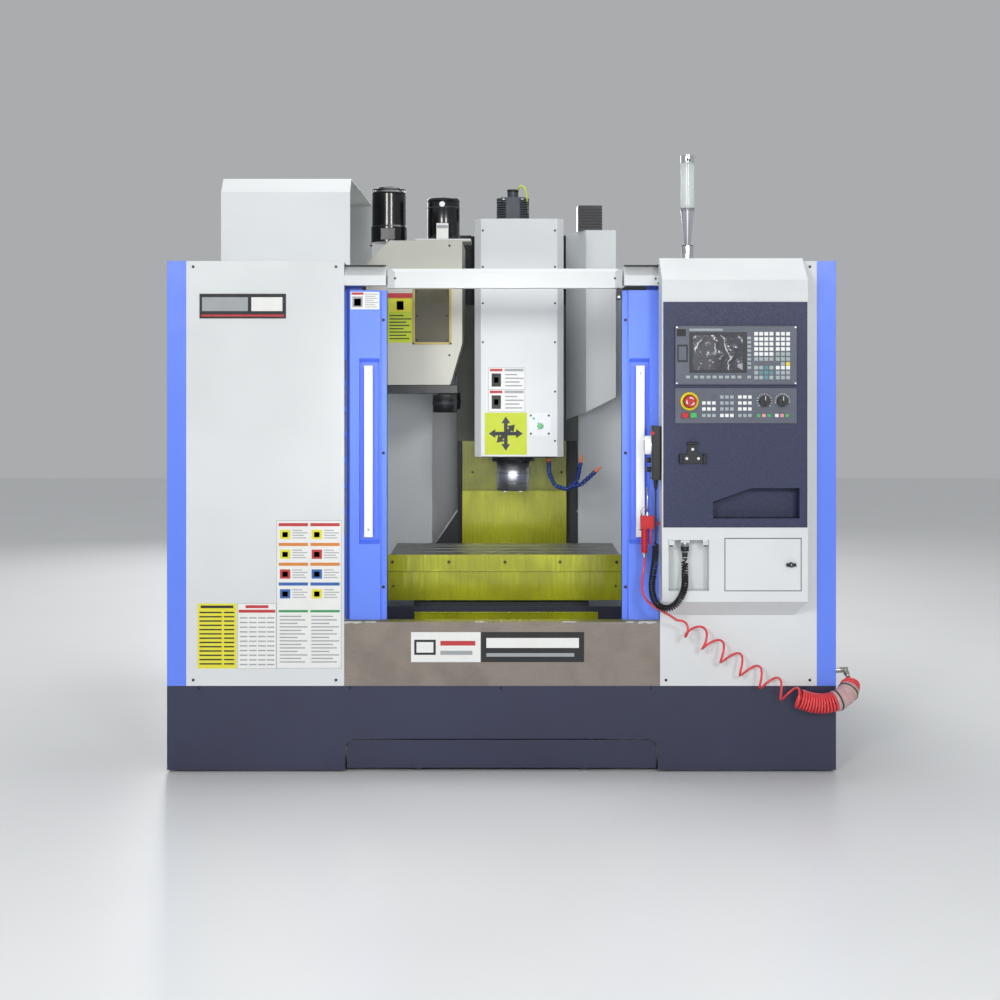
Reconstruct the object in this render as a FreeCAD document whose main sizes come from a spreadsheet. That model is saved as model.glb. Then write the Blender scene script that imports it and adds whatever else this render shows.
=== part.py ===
import FreeCAD, Part
import math
import os
import re
import Sketcher
from FreeCAD import Placement, Rotation, Vector

# Vertical machining centre with an open front, a side tool magazine with a swing arm and a front console.
# Millimetres. +X is to the operator's right, +Y runs into the machine and +Z is up. The origin is on the
# floor under the middle of the machine, and depths are measured back from the front sheet (front_plane).

SIZES = {
    "overall": dict(
        machine_width=2300, front_plane=-937, machine_depth=2035, panel_top=1758, base_top=297,
        floor_gap=8, sheet_skin=3, post_width=66, side_depth=1800, running_gap=0.3, shaft_gap=0.05),
    "base": dict(
        skirt_wall=5, skirt_depth=1800, toe_half_width=538, toe_height=115, toe_radius=40,
        foot_radius=55, foot_height=30, stud_radius=15, foot_spread=360, foot_front=330, foot_rear=1720,
        bed_half_width=400, bed_front=250, bed_rear=1790, bed_bottom=120, bed_deck=330, way_top=372,
        way_half_width=260, way_width=70, way_rear=1390, tank_front=14, tank_depth=860, tank_bottom=12,
        tank_clearance=6, tank_wall=4),
    "column": dict(
        column_left=-190, column_right=325, column_front=1400, column_rear=1780, column_top=1960,
        column_wall=30, column_way_depth=40, column_way_width=60, column_way_bottom=880, gusset_width=100,
        gusset_height=150, gusset_foot=625, gusset_thick=14, shield_bottom=560, shield_top=868,
        shield_depth=70),
    "saddle": dict(
        saddle_half_width=330, saddle_front=490, saddle_rear=900, saddle_bottom=372.3, saddle_top=480,
        cross_way_top=540, cross_way_width=60, cross_way_inset=40),
    "table": dict(
        table_middle=13, table_half_width=430, table_front=505, table_depth=400, table_top=690,
        table_thickness=75, slot_count=3, slot_pitch=100, slot_neck=18, slot_foot=30,
        slot_neck_depth=14, slot_foot_depth=12, guard_skin=3, guard_bottom=520, guard_lip=62,
        guard_half_width=439, guard_offset=5),
    "head": dict(
        spindle_x=45, spindle_depth=860, nose_level=907, sleeve_radius=63.5, flange_radius=82,
        flange_thick=22, sleeve_top=1060, casting_half_width=120, casting_front=730, casting_bottom=1060,
        casting_top=1640, slide_bottom=1080, slide_top=1660, slide_thick=40, cover_left=-104,
        cover_right=240, cover_front=660, cover_rear=1320, cover_bottom=1048, cover_top=1966,
        cover_bevel_x=25, cover_bevel_y=30, cover_skin=2.5, shaft_radius=38, shaft_top=1500,
        taper_mouth=22.2, taper_end=12.7, taper_length=68, motor_radius=64, motor_top=2062,
        motor_bottom=1700, neck_radius=22, neck_top=2098, manifold_left=132, manifold_width=96,
        manifold_depth=80, manifold_height=24, hose_radius=9),
    "magazine": dict(
        magazine_left=-520, magazine_right=-151, magazine_front=640, magazine_depth=520,
        magazine_bottom=1326, magazine_top=1880, magazine_skin=3, magazine_round=90, magazine_chamfer_x=46,
        magazine_chamfer_z=160, window_left=-333, window_width=140, window_bottom=1484,
        window_height=212, drum_radius=215, drum_disc=24, drum_disc_x=-478, drum_level=1604,
        drum_depth=900, drum_axle=30, pot_radius=34, pot_length=112, pot_circle=168, pot_count=12,
        arm_axis_x=-216, arm_reach=261, arm_level=1225, arm_thick=60, arm_half_width=30,
        grip_outer=44, arm_shaft_radius=22, quill_radius=34, quill_bottom=1292, quill_top=1800,
        arm_drop=115, cam_width=120, cam_depth=200, cam_bottom=1492, cam_top=1850,
        cam_rear=1180, shelf_left=-330, shelf_right=-118, shelf_thick=6,
        canister_x=-226, canister_depth=760, can_motor_x=-440, can_motor_radius=66,
        can_motor_height=214),
    "side cover": dict(
        duct_inner=274, duct_left=349, duct_right=472, duct_front=1100, duct_wing=1290, duct_top=1960,
        duct_bottom=1172, duct_slope=0.5, duct_skin=3, servo_x=366, servo_depth=1170, servo_half=50,
        servo_height=104),
    "doors": dict(
        opening_left=-541, opening_right=545, door_meet=10, door_gap=4, door_width=600, door_rest=404,
        door_bottom=522, door_top=1658, door_front=14, door_skin=3, door_pane=46, door_stile=106,
        door_flange=21, door_slope=12, door_flange_back=26, slot_level=814, slot_height=69, slot_step=89,
        slot_number=7, slot_width=300, slot_edge=4, handle_low=808, handle_length=590,
        handle_inset=62, handle_width=30, handle_proud=12, handle_thick=12, handle_post=8,
        post_inset=40, bay_width=73, bay_depth=20, bay_margin=12, bay_slope=14, hanger_width=80,
        hanger_inset=90, track_front=62, track_thick=12, track_bottom=1680, track_height=30,
        hanger_gap=1.5, hanger_thick=6),
    "front": dict(
        sill_height=220, sill_depth=58, return_depth=11, header_left=-394, header_right=418,
        header_bottom=1665, header_height=67, header_slope=28, header_depth=60, cap_top=1742,
        cap_bottom=1674, cap_slope=34, cap_gap=4),
    "console": dict(
        console_left=540, console_right=1031, console_depth=120, console_bottom=603,
        console_chamfer=1686, console_crest=1766, console_crest_depth=20, console_skin=4,
        console_keel=541, console_keel_left=572, console_keel_right=1005, panel_low=855,
        panel_high=1612, panel_thick=3, panel_inset=4, plug_x=620, plug_depth=-90, plug_low=748.3,
        plug_radius=9, recess_left=562, recess_width=136, recess_low=640, recess_height=171,
        recess_depth=60, store_left=752, store_width=255, store_low=641, store_height=175,
        store_depth=90, store_gap=0.6, store_skin=3, lock_inset=34, lock_radius=8, lock_handle=32,
        display_left=583, display_low=1334, display_width=408, display_height=197, display_proud=12,
        control_low=1204, control_height=118, control_proud=6, stop_x=631, stop_level=1278,
        stop_ring=30, stop_head=20, stop_stem=11, stop_rise=32, red_key_x=616, green_key_x=644,
        key_level=1231, key_radius=10, key_rise=7, key_length=8.5, dial_left_x=883, dial_right_x=943, dial_level=1279, dial_radius=17, dial_stem=4,
        pocket_left=711, pocket_right=1002, pocket_low=884, pocket_high=986, pocket_shoulder=840,
        pocket_heel=940, pocket_depth=62, pocket_skin=3, pocket_gap=0.3, tower_x=644, tower_depth=40, tower_foot_radius=20.5, tower_foot_rise=54,
        tower_neck_radius=10.5, tower_radius=24, tower_cone_rise=180, tower_lens_rise=343,
        tower_cap_rise=367),
    "hand tools": dict(
        pendant_back=538, pendant_thick=30, pendant_front=-110, pendant_width=80, pendant_low=1012,
        pendant_height=181, wheel_radius=30, wheel_thick=22, wheel_level=1128, selector_radius=9,
        selector_length=14, selector_high=1077, selector_step=31, gun_x=487, gun_depth=-50,
        gun_low=761, gun_high=887, gun_radius=11, nozzle_radius=3, nozzle_length=96,
        hose_size=8, coil_radius=36, cable_size=6, cable_coil=13),
    "cladding": dict(
        roof_inner=548, hood_left=-1017, hood_right=-549, hood_front=300,
        hood_depth=989, hood_front_rise=270, hood_rise=324, hood_slope=50, liner_inset=74,
        liner_bend=560, liner_floor_x=520, liner_floor=345, liner_front=75, liner_rear=1374,
        guard_wall_front=440, guard_wall_top=505, guard_wall_half=520,
        liner_top=1718, column_gap=108, notch_gap=4, arm_notch=64, stay_level=797, stay_height=60, stay_depth=20, wiper_left=-323,
        wiper_right=358, wiper_low=430, wiper_high=485, cabinet_half=640, cabinet_low=360,
        cabinet_top=1720, lid_inset=30, port_depth=95, port_level=334, port_radius=11,
        port_flange=17, port_flange_thick=6, port_gap=0.3,
        port_end=1212, inlet_radius=9, inlet_length=31),
}

doc = FreeCAD.newDocument("MachiningCentre")
sheet = doc.addObject("Spreadsheet::Sheet", "Sizes")
NAMES = {}
PARTS = []


def fill_sheet():
    """Write each driving size as one row: its name, and its value with that name as alias."""
    row = 1
    for section, sizes in SIZES.items():
        sheet.set(f"A{row}", section)
        for name, value in sizes.items():
            row += 1
            sheet.set(f"A{row}", name)
            sheet.set(f"B{row}", str(value))
            sheet.setAlias(f"B{row}", name)
            NAMES[name] = f"{sheet.Name}.{name}"
        row += 1
    doc.recompute()


def formula(text):
    """The expression for a size written with the names of the sheet's cells."""
    return re.sub(r"[a-z]+(?:_[a-z]+)+", lambda word: NAMES.get(word.group(0), word.group(0)), str(text))


def number(text):
    """What a size comes to, in millimetres."""
    return float(sheet.evalExpression(formula(text)))


def bind(item, **sizes):
    for prop, text in sizes.items():
        item.setExpression(prop, formula(text))


def place(item, at, turn=None):
    """Put an item at a point given by three sizes, turned by a rotation."""
    item.Placement = Placement(Vector(*[number(value) for value in at]), turn or Rotation())
    for axis, text in zip("xyz", at):
        item.setExpression(f"Placement.Base.{axis}", formula(text))
    return item


AXIS_TURNS = {
    "z": Rotation(),
    "x": Rotation(Vector(0, 1, 0), 90),
    "y": Rotation(Vector(1, 0, 0), -90),
}


def block(at, size):
    """A cuboid from its low corner and its three sizes."""
    item = doc.addObject("Part::Box", "Block")
    bind(item, Length=size[0], Width=size[1], Height=size[2])
    return place(item, at)


def slab(low, high):
    """A cuboid between two corners."""
    return block(low, [f"({b}) - ({a})" for a, b in zip(low, high)])


def rod(at, radius, length, axis="z"):
    item = doc.addObject("Part::Cylinder", "Rod")
    bind(item, Radius=radius, Height=length)
    return place(item, at, AXIS_TURNS[axis])


def cone(at, radius, end_radius, length, axis="z"):
    item = doc.addObject("Part::Cone", "Cone")
    bind(item, Radius1=radius, Radius2=end_radius, Height=length)
    return place(item, at, AXIS_TURNS[axis])


def fuse(*items):
    item = doc.addObject("Part::MultiFuse", "Fuse")
    item.Shapes = list(items)
    item.Refine = True
    return item


def cut(base, *tools):
    item = doc.addObject("Part::Cut", "Cut")
    item.Base = base
    item.Tool = tools[0] if len(tools) == 1 else gather(*tools)
    return item


def gather(*items):
    """Several separate solids in one object."""
    item = doc.addObject("Part::Compound", "Group")
    item.Links = list(items)
    return item


def mirrored(source, middle="0"):
    """The same shape on the other side of the plane at X = middle."""
    item = doc.addObject("Part::Mirroring", "Mirrored")
    item.Source = source
    item.Normal = Vector(1, 0, 0)
    item.setExpression("Base.x", formula(middle))
    return item


def origin_plane(body, role):
    return next(plane for plane in body.Origin.OriginFeatures if plane.Role == role)


def outline(body, role, points):
    """A closed sketch through points given by sizes, on one of the body's own planes."""
    sketch = body.newObject("Sketcher::SketchObject", "Outline")
    sketch.AttachmentSupport = [(origin_plane(body, role), "")]
    sketch.MapMode = "FlatFace"
    corners = [Vector(number(x), number(y), 0) for x, y in points]
    count = len(corners)
    for index in range(count):
        sketch.addGeometry(Part.LineSegment(corners[index], corners[(index + 1) % count]), False)
    for index in range(count):
        sketch.addConstraint(Sketcher.Constraint("Coincident", index, 2, (index + 1) % count, 1))
    for index, (x, y) in enumerate(points):
        for kind, text in (("DistanceX", x), ("DistanceY", y)):
            rule = sketch.addConstraint(Sketcher.Constraint(kind, -1, 1, index, 1, number(text)))
            sketch.setExpression(f"Constraints[{rule}]", formula(text))
    return sketch


PRISM_PLANES = {"z": ("XY_Plane", False), "y": ("XZ_Plane", True), "x": ("YZ_Plane", False)}


def prism(axis, points, start, length, round_edges=None):
    """A body padded along an axis from an outline in the other two axes, its long edges rounded."""
    role, backward = PRISM_PLANES[axis]
    body = doc.addObject("PartDesign::Body", "Prism")
    pad = body.newObject("PartDesign::Pad", "Pad")
    pad.Profile = outline(body, role, points)
    pad.Reversed = backward
    bind(pad, Length=length)
    place(body, [start if name == axis else "0" for name in "xyz"])
    if round_edges:
        pad.recompute()
        doc.recompute([pad], True)
        along = "xyz".index(axis)
        long_edges = [
            f"Edge{index}"
            for index, edge in enumerate(pad.Shape.Edges, 1)
            if abs((edge.Vertexes[-1].Point - edge.Vertexes[0].Point)[along]) > 0.01
        ]
        fillet = body.newObject("PartDesign::Fillet", "Rounding")
        fillet.Base = (pad, long_edges)
        bind(fillet, Radius=round_edges)
    return body


def rectangle(low, high):
    return [(low[0], low[1]), (high[0], low[1]), (high[0], high[1]), (low[0], high[1])]


def turned(at, profile, axis="z"):
    """A body revolved from an outline of radius against height."""
    body = doc.addObject("PartDesign::Body", "Turned")
    spin = body.newObject("PartDesign::Revolution", "Spin")
    sketch = outline(body, "XZ_Plane", profile)
    spin.Profile = sketch
    spin.ReferenceAxis = (sketch, ["V_Axis"])
    spin.Angle = 360
    return place(body, at, AXIS_TURNS[axis])


def keep(label, item):
    """Name a finished sub-part: its label is its file's name."""
    item.Label = label
    PARTS.append(item)
    return item


def at_depth(depth):
    """The Y of a depth behind the front sheet."""
    return f"front_plane + {depth}"


def make_base():
    """Skirt round the foot of the machine, its levelling feet, the bed and the sliding coolant tank."""
    half, wall = "machine_width / 2", "skirt_wall"
    shell = slab([f"-{half}", "front_plane", "floor_gap"], [half, at_depth("skirt_depth"), "base_top"])
    inside = slab(
        [f"-{half} + {wall}", at_depth(wall), "0"],
        [f"{half} - {wall}", at_depth(f"skirt_depth - {wall}"), "base_top + 1"])
    toe = prism("y", rectangle(("-toe_half_width", "-toe_height"), ("toe_half_width", "toe_height")),
                "front_plane - 1", f"{wall} + 2", "toe_radius")
    keep("base_skirt", cut(shell, inside, toe))

    feet = []
    for side in ("-foot_spread", "foot_spread"):
        for depth in ("foot_front", "(foot_front + foot_rear) / 2", "foot_rear"):
            spot = [side, at_depth(depth)]
            pad = cone([*spot, "0"], "foot_radius", "foot_radius * 0.7", "foot_height")
            stud = rod([*spot, "0"], "stud_radius", "bed_bottom")
            feet.append(fuse(pad, stud))
    keep("levelling_feet", gather(*feet))

    low = [("bed_front", "bed_bottom"), ("bed_rear", "bed_bottom"), ("bed_rear", "bed_deck"),
           ("bed_front", "bed_deck")]
    casting = prism("x", [(at_depth(depth), level) for depth, level in low], "-bed_half_width",
                    "bed_half_width * 2")
    ways = [
        slab([f"{side} - way_width / 2", at_depth("bed_front + 150"), "bed_deck"],
             [f"{side} + way_width / 2", at_depth("way_rear"), "way_top"])
        for side in ("-way_half_width", "way_half_width")]
    trough = slab(["-way_half_width + way_width", at_depth("bed_front + 60"), "bed_deck - 120"],
                  ["way_half_width - way_width", at_depth("way_rear - 60"), "bed_deck + 1"])
    keep("bed_casting", cut(fuse(casting, *ways), trough))

    reach = "toe_half_width - tank_clearance"
    ceiling = "toe_height - tank_clearance"
    tank = slab([f"-({reach})", at_depth("tank_front"), "tank_bottom"],
                [reach, at_depth("tank_front + tank_wall"), ceiling])
    body_half = "foot_spread - foot_radius - tank_clearance"
    tub = slab([f"-({body_half})", at_depth("tank_front"), "tank_bottom"],
               [body_half, at_depth("tank_front + tank_depth"), ceiling])
    hollow = slab([f"-({body_half}) + tank_wall", at_depth("tank_front + tank_wall"), "tank_bottom + tank_wall"],
                  [f"{body_half} - tank_wall", at_depth("tank_front + tank_depth - tank_wall"), "toe_height"])
    skids = [
        block([x, at_depth("tank_front + 20"), "0"], ["24", "tank_depth - 40", "tank_bottom + 1"])
        for x in (f"-({body_half})", f"{body_half} - 24")]
    keep("coolant_tank", cut(fuse(tank, tub, *skids), hollow))


def make_column():
    """Hollow column with two ways and a gusset each side, and the bare shield plates low on its front."""
    outer = slab(["column_left", at_depth("column_front"), "bed_deck"],
                 ["column_right", at_depth("column_rear"), "column_top"])
    core = slab(["column_left + column_wall", at_depth("column_front + column_wall"), "bed_deck - 1"],
                ["column_right - column_wall", at_depth("column_rear - column_wall"), "column_top - column_wall"])
    ways = [
        slab([x, at_depth("column_front - column_way_depth"), "column_way_bottom"],
             [f"{x} + column_way_width", at_depth("column_front"), "column_top"])
        for x in ("column_left", "column_right - column_way_width")]
    left = [("column_left - gusset_width", "gusset_foot"), ("column_left", "gusset_foot"),
            ("column_left", "gusset_foot + gusset_height")]
    right = [("column_right", "gusset_foot"), ("column_right + gusset_width", "gusset_foot"),
             ("column_right", "gusset_foot + gusset_height")]
    gussets = [prism("y", points, at_depth("column_front"), "gusset_thick") for points in (left, right)]
    keep("column_casting", cut(fuse(outer, *ways, *gussets), core))

    column_shield = slab(
        ["column_left + 22", at_depth("column_front - shield_depth"), "shield_bottom"],
        ["column_right - 48", at_depth("column_front"), "shield_top"])
    wiper = slab(["wiper_left", at_depth("guard_wall_front - sheet_skin"), "wiper_low"],
                 ["wiper_right", at_depth("guard_wall_front"), "wiper_high"])
    keep("shield_plates", gather(column_shield, wiper))
    wall = slab(["-guard_wall_half", at_depth("guard_wall_front"), "bed_deck"],
                ["guard_wall_half", at_depth("guard_wall_front + sheet_skin"), "guard_wall_top"])
    notch = [
        slab([f"{side} - way_width / 2 - 2", at_depth("guard_wall_front - 1"), "bed_deck - 1"],
             [f"{side} + way_width / 2 + 2", at_depth("guard_wall_front + sheet_skin + 1"), "way_top + 2"])
        for side in ("-way_half_width", "way_half_width")]
    keep("chip_guard", cut(wall, *notch))


def make_saddle_and_table():
    body = slab(["-saddle_half_width", at_depth("saddle_front"), "saddle_bottom"],
                ["saddle_half_width", at_depth("saddle_rear"), "saddle_top"])
    ways = [
        slab(["-saddle_half_width", at_depth(start), "saddle_top"],
             ["saddle_half_width", at_depth(f"{start} + cross_way_width"), "cross_way_top"])
        for start in ("saddle_front + cross_way_inset", "saddle_rear - cross_way_inset - cross_way_width")]
    keep("saddle", fuse(body, *ways))

    left, right = "table_middle - table_half_width", "table_middle + table_half_width"
    rear = at_depth("table_front + table_depth")
    deck = slab([left, at_depth("table_front"), "table_top - table_thickness"], [right, rear, "table_top"])
    legs = slab([left, at_depth("saddle_front + cross_way_inset"), "cross_way_top + running_gap"],
                [right, at_depth("saddle_rear - cross_way_inset"), "table_top - table_thickness"])
    slots = []
    for index in range(int(number("slot_count"))):
        middle = f"front_plane + table_front + table_depth / 2 + ({index} - (slot_count - 1) / 2) * slot_pitch"
        floor = "table_top - slot_neck_depth"
        slots.append(slab([f"{left} - 1", f"{middle} - slot_neck / 2", f"{floor} - 1"],
                          [f"{right} + 1", f"{middle} + slot_neck / 2", "table_top + 1"]))
        slots.append(slab([f"{left} - 1", f"{middle} - slot_foot / 2", f"{floor} - slot_foot_depth"],
                          [f"{right} + 1", f"{middle} + slot_foot / 2", floor]))
    keep("table", cut(fuse(deck, legs), *slots))

    front = "front_plane + table_front"
    points = [
        (f"{front} - guard_skin - guard_offset", "guard_bottom"),
        (f"{front} - guard_offset", "guard_bottom"),
        (f"{front} - guard_offset", "table_top - guard_lip"),
        (front, "table_top - guard_lip"),
        (front, "table_top"),
        (f"{front} - guard_skin", "table_top"),
        (f"{front} - guard_skin", "table_top - guard_lip + guard_skin"),
        (f"{front} - guard_skin - guard_offset", "table_top - guard_lip + guard_skin"),
    ]
    keep("table_guard", prism("x", points, "table_middle - guard_half_width", "guard_half_width * 2"))


def make_head():
    """Spindle head on the column's ways: casting, cover, motor, turning spindle and coolant hoses."""
    spot = ["spindle_x", at_depth("spindle_depth")]
    casting = slab(["spindle_x - casting_half_width", at_depth("casting_front"), "casting_bottom"],
                   ["spindle_x + casting_half_width",
                    at_depth("column_front - column_way_depth - slide_thick"), "casting_top"])
    slide = slab(["column_left", at_depth("column_front - column_way_depth - slide_thick"), "slide_bottom"],
                 ["column_right", at_depth("column_front - column_way_depth - running_gap"), "slide_top"])
    sleeve = rod([*spot, "nose_level"], "sleeve_radius", "sleeve_top - nose_level")
    flange = rod([*spot, "casting_bottom - flange_thick"], "flange_radius", "flange_thick")
    bore = rod([*spot, "nose_level - 1"], "shaft_radius + shaft_gap", "shaft_top - nose_level + 10")
    keep("head_casting", cut(fuse(casting, slide, sleeve, flange), bore))

    shaft = rod([*spot, "nose_level - 2"], "shaft_radius", "shaft_top - nose_level + 2")
    taper = cone([*spot, "nose_level - 2"], "taper_mouth", "taper_end", "taper_length")
    drawbar = rod([*spot, "nose_level"], "taper_end", "taper_length + 60")
    keep("spindle_shaft", cut(shaft, taper, drawbar))

    def cover_outline(inset, rear):
        left, right = f"cover_left + {inset}", f"cover_right - {inset}"
        front = f"front_plane + cover_front + {inset}"
        return [
            (left, rear), (left, f"{front} + cover_bevel_y"), (f"{left} + cover_bevel_x", front),
            (f"{right} - cover_bevel_x", front), (right, f"{front} + cover_bevel_y"), (right, rear)]
    rear = at_depth("cover_rear")
    shell = prism("z", cover_outline("0", rear), "cover_bottom", "cover_top - cover_bottom")
    inside = prism("z", cover_outline("cover_skin", f"{rear} + 1"), "cover_bottom - 1",
                   "cover_top - cover_bottom + 1 - cover_skin")
    hole = rod([*spot, "cover_top - 10"], "motor_radius + 8", "20")
    keep("head_cover", cut(shell, inside, hole))

    side = "motor_radius * 0.4142"
    octagon = [(f"{x} + spindle_x", f"{y} + front_plane + spindle_depth") for x, y in (
        ("motor_radius", f"-{side}"), ("motor_radius", side), (side, "motor_radius"),
        (f"-{side}", "motor_radius"), ("-motor_radius", side), ("-motor_radius", f"-{side}"),
        (f"-{side}", "-motor_radius"), (side, "-motor_radius"))]
    can = prism("z", octagon, "motor_bottom", "motor_top - motor_bottom")
    neck = rod([*spot, "motor_top"], "neck_radius", "neck_top - motor_top")
    bracket = slab(["spindle_x - casting_half_width", at_depth("spindle_depth - 90"), "casting_top"],
                   ["spindle_x + casting_half_width", at_depth("spindle_depth + 90"), "motor_bottom"])
    keep("spindle_motor", fuse(can, neck, bracket))

    manifold = block(["manifold_left", at_depth("spindle_depth - 40"), "casting_bottom - manifold_height"],
                     ["manifold_width", "manifold_depth", "manifold_height"])
    keep("coolant_hoses", gather(manifold, coolant_pipe()))


def coolant_pipe():
    """Two jointed pipes that hang from the manifold and turn up into three nozzles, in one plane."""
    item = doc.addObject("Part::Feature", "Pipes")
    radius = number("hose_radius")
    root = Vector(number("manifold_left") + 57, number("front_plane + spindle_depth"),
                  number("casting_bottom - manifold_height"))
    route = [(0, 0), (0, -60), (22, -112), (72, -128), (112, -92), (124, -30)]
    branch = [(84, -118), (128, -108), (176, -64)]
    solids = []
    for points in (route, branch):
        path = [root + Vector(x, 0, z) for x, z in points]
        for start, end in zip(path, path[1:]):
            solids.append(Part.makeCylinder(radius, (end - start).Length, start, end - start))
            solids.append(Part.makeSphere(radius, end))
        lean = path[-1] - path[-2]
        solids.append(Part.makeCone(radius, radius * 0.4, 42, path[-1], lean))
    item.Shape = solids[0].multiFuse(solids[1:])
    return item


def make_magazine():
    """Tool magazine: folded cover with a window, drum of pots on an axle, cam box, quill and swing arm."""
    skin = "magazine_skin"

    def cover_outline(inset):
        left, right = f"magazine_left + {inset}", f"magazine_right - {inset}"
        top, bottom = f"magazine_top - {inset}", f"magazine_bottom + {inset}"
        return [
            (left, bottom), (f"{right} - magazine_chamfer_x", bottom),
            (right, f"{bottom} + magazine_chamfer_z"), (right, top), (f"{left} + magazine_round", top),
            (left, f"{top} - magazine_round")]
    shell = prism("y", cover_outline("0"), at_depth("magazine_front"), "magazine_depth")
    inside = prism("y", cover_outline(skin), at_depth(f"magazine_front + {skin}"), "magazine_depth")
    window = block(["window_left", at_depth("magazine_front - 1"), "window_bottom"],
                   ["window_width", f"{skin} + 2", "window_height"])
    quill_hole = rod(["arm_axis_x", at_depth("spindle_depth"), "magazine_bottom - 10"], "quill_radius + 4", "240")
    shelf = slab(["shelf_left", at_depth("magazine_front + 40"), "magazine_top"],
                 ["shelf_right", at_depth("magazine_front + 220"), "magazine_top + shelf_thick"])
    keep("magazine_cover", cut(fuse(shell, shelf), inside, window, quill_hole))

    axle_start = f"magazine_left + {skin}"
    middle = [at_depth("drum_depth"), "drum_level"]
    cam = slab(["arm_axis_x - cam_width / 2", at_depth("spindle_depth - cam_depth / 2"), "cam_bottom"],
               ["arm_axis_x + 50", at_depth("cam_rear"), "cam_top"])
    quill_bore = rod(["arm_axis_x", at_depth("spindle_depth"), "cam_bottom - 1"],
                     "quill_radius + shaft_gap", "quill_top - cam_bottom + 1")
    carrier = slab(["magazine_left", at_depth("magazine_front + magazine_depth"), "drum_level - 60"],
                   ["column_left - 1", at_depth("column_front + 40"), "drum_level + 60"])
    link = slab(["column_left - 60", at_depth("column_front"), "drum_level - 60"],
                ["column_left", at_depth("column_front + 40"), "drum_level + 60"])
    axle = rod([axle_start, *middle], "drum_axle / 2", "60", "x")
    cam_box = cut(fuse(cam, carrier, link), quill_bore)
    keep("atc_cam_box", gather(cam_box, axle))

    disc = rod(["drum_disc_x", *middle], "drum_radius", "drum_disc", "x")
    pots = []
    for index in range(int(number("pot_count"))):
        turn = math.radians(360 / number("pot_count") * index)
        pots.append(rod(
            ["drum_disc_x", f"{middle[0]} + pot_circle * {math.cos(turn):.6f}",
             f"drum_level + pot_circle * {math.sin(turn):.6f}"], "pot_radius", "pot_length", "x"))
    hub_bore = rod(["magazine_left", *middle], "drum_axle / 2 + shaft_gap", "200", "x")
    keep("tool_drum", cut(fuse(disc, *pots), hub_bore))

    spot = ["arm_axis_x", at_depth("spindle_depth")]
    quill = rod([*spot, "quill_bottom"], "quill_radius", "quill_top - quill_bottom - arm_drop")
    arm_bore = rod([*spot, "quill_bottom - 1"], "arm_shaft_radius + shaft_gap", "quill_top - quill_bottom")
    keep("atc_quill", cut(quill, arm_bore))

    bar = slab(["arm_axis_x - arm_half_width", at_depth("spindle_depth - arm_reach"), "arm_level"],
               ["arm_axis_x + arm_half_width", at_depth("spindle_depth + arm_reach"), "arm_level + arm_thick"])
    shaft = rod([*spot, "arm_level"], "arm_shaft_radius", "quill_top - arm_drop - 20 - arm_level")
    grips, jaws = [], []
    for sign in ("-", "+"):
        tip = f"front_plane + spindle_depth {sign} arm_reach"
        grips.append(rod(["arm_axis_x", tip, "arm_level"], "grip_outer", "arm_thick"))
        jaws.append(rod(["arm_axis_x", tip, "arm_level - 1"], "grip_outer - 16", "arm_thick + 2"))
        side = ["arm_axis_x - 60", "arm_axis_x - 18"] if sign == "-" else ["arm_axis_x + 18", "arm_axis_x + 60"]
        jaws.append(slab([side[0], f"{tip} - 24", "arm_level - 1"], [side[1], f"{tip} + 24", "arm_level + arm_thick + 1"]))
    keep("atc_arm", cut(fuse(bar, shaft, *grips), *jaws))

    spot = ["can_motor_x", at_depth("magazine_front + 120"), "magazine_top"]
    profile = [("0", "0"), ("can_motor_radius + 4", "0"), ("can_motor_radius + 4", "60"),
               ("can_motor_radius", "66"), ("can_motor_radius", "can_motor_height - 26"),
               ("can_motor_radius - 22", "can_motor_height"), ("0", "can_motor_height")]
    motor = turned(spot, profile)
    servo = block(["servo_x - servo_half", at_depth("servo_depth - servo_half"), "duct_top"],
                  ["servo_half * 2", "servo_half * 2", "servo_height"])
    keep("drive_motors", gather(motor, servo))

    profile = [("0", "0"), ("50", "0"), ("50", "110"), ("66", "118"), ("66", "136"), ("60", "148"),
               ("16", "158"), ("16", "172"), ("0", "172")]
    spot = ["canister_x", at_depth("canister_depth"), "magazine_top + shelf_thick"]
    keep("oil_canister", turned(spot, profile))


def make_side_duct():
    """Angled sheet cover beside the column, cut off at a slope, that carries the vertical axis motor."""
    def duct_outline(inset, rear):
        return [
            (f"duct_inner + {inset}", rear), (f"duct_inner + {inset}", at_depth("duct_wing")),
            (f"duct_left + {inset} / 2", at_depth(f"duct_front + {inset}")),
            (f"duct_right - {inset}", at_depth(f"duct_front + {inset}")), (f"duct_right - {inset}", rear)]
    rear = at_depth("column_front - column_way_depth - slide_thick - 20")
    shell = prism("z", duct_outline("0", rear), "duct_bottom", "duct_top - duct_bottom")
    inside = prism("z", duct_outline("duct_skin", f"{rear} + 1"), "duct_bottom - 1",
                   "duct_top - duct_bottom + 1 - duct_skin")
    under = prism("y", [("duct_inner - 1", "duct_bottom - 1"), ("duct_right + 1", "duct_bottom - 1"),
                        ("duct_right + 1", "duct_bottom + duct_slope * (duct_right - duct_inner)")],
                  at_depth("duct_front - 1"), "300")
    stay = slab(["column_right", at_depth("column_front"), "duct_top - 60"],
                ["duct_right", at_depth("column_front + 20"), "duct_top"])
    arm = slab(["duct_right - 60", at_depth("column_front - column_way_depth - slide_thick - 20"), "duct_top - 60"],
               ["duct_right", at_depth("column_front + 20"), "duct_top"])
    keep("column_side_cover", fuse(cut(shell, inside, under), stay, arm))


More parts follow.
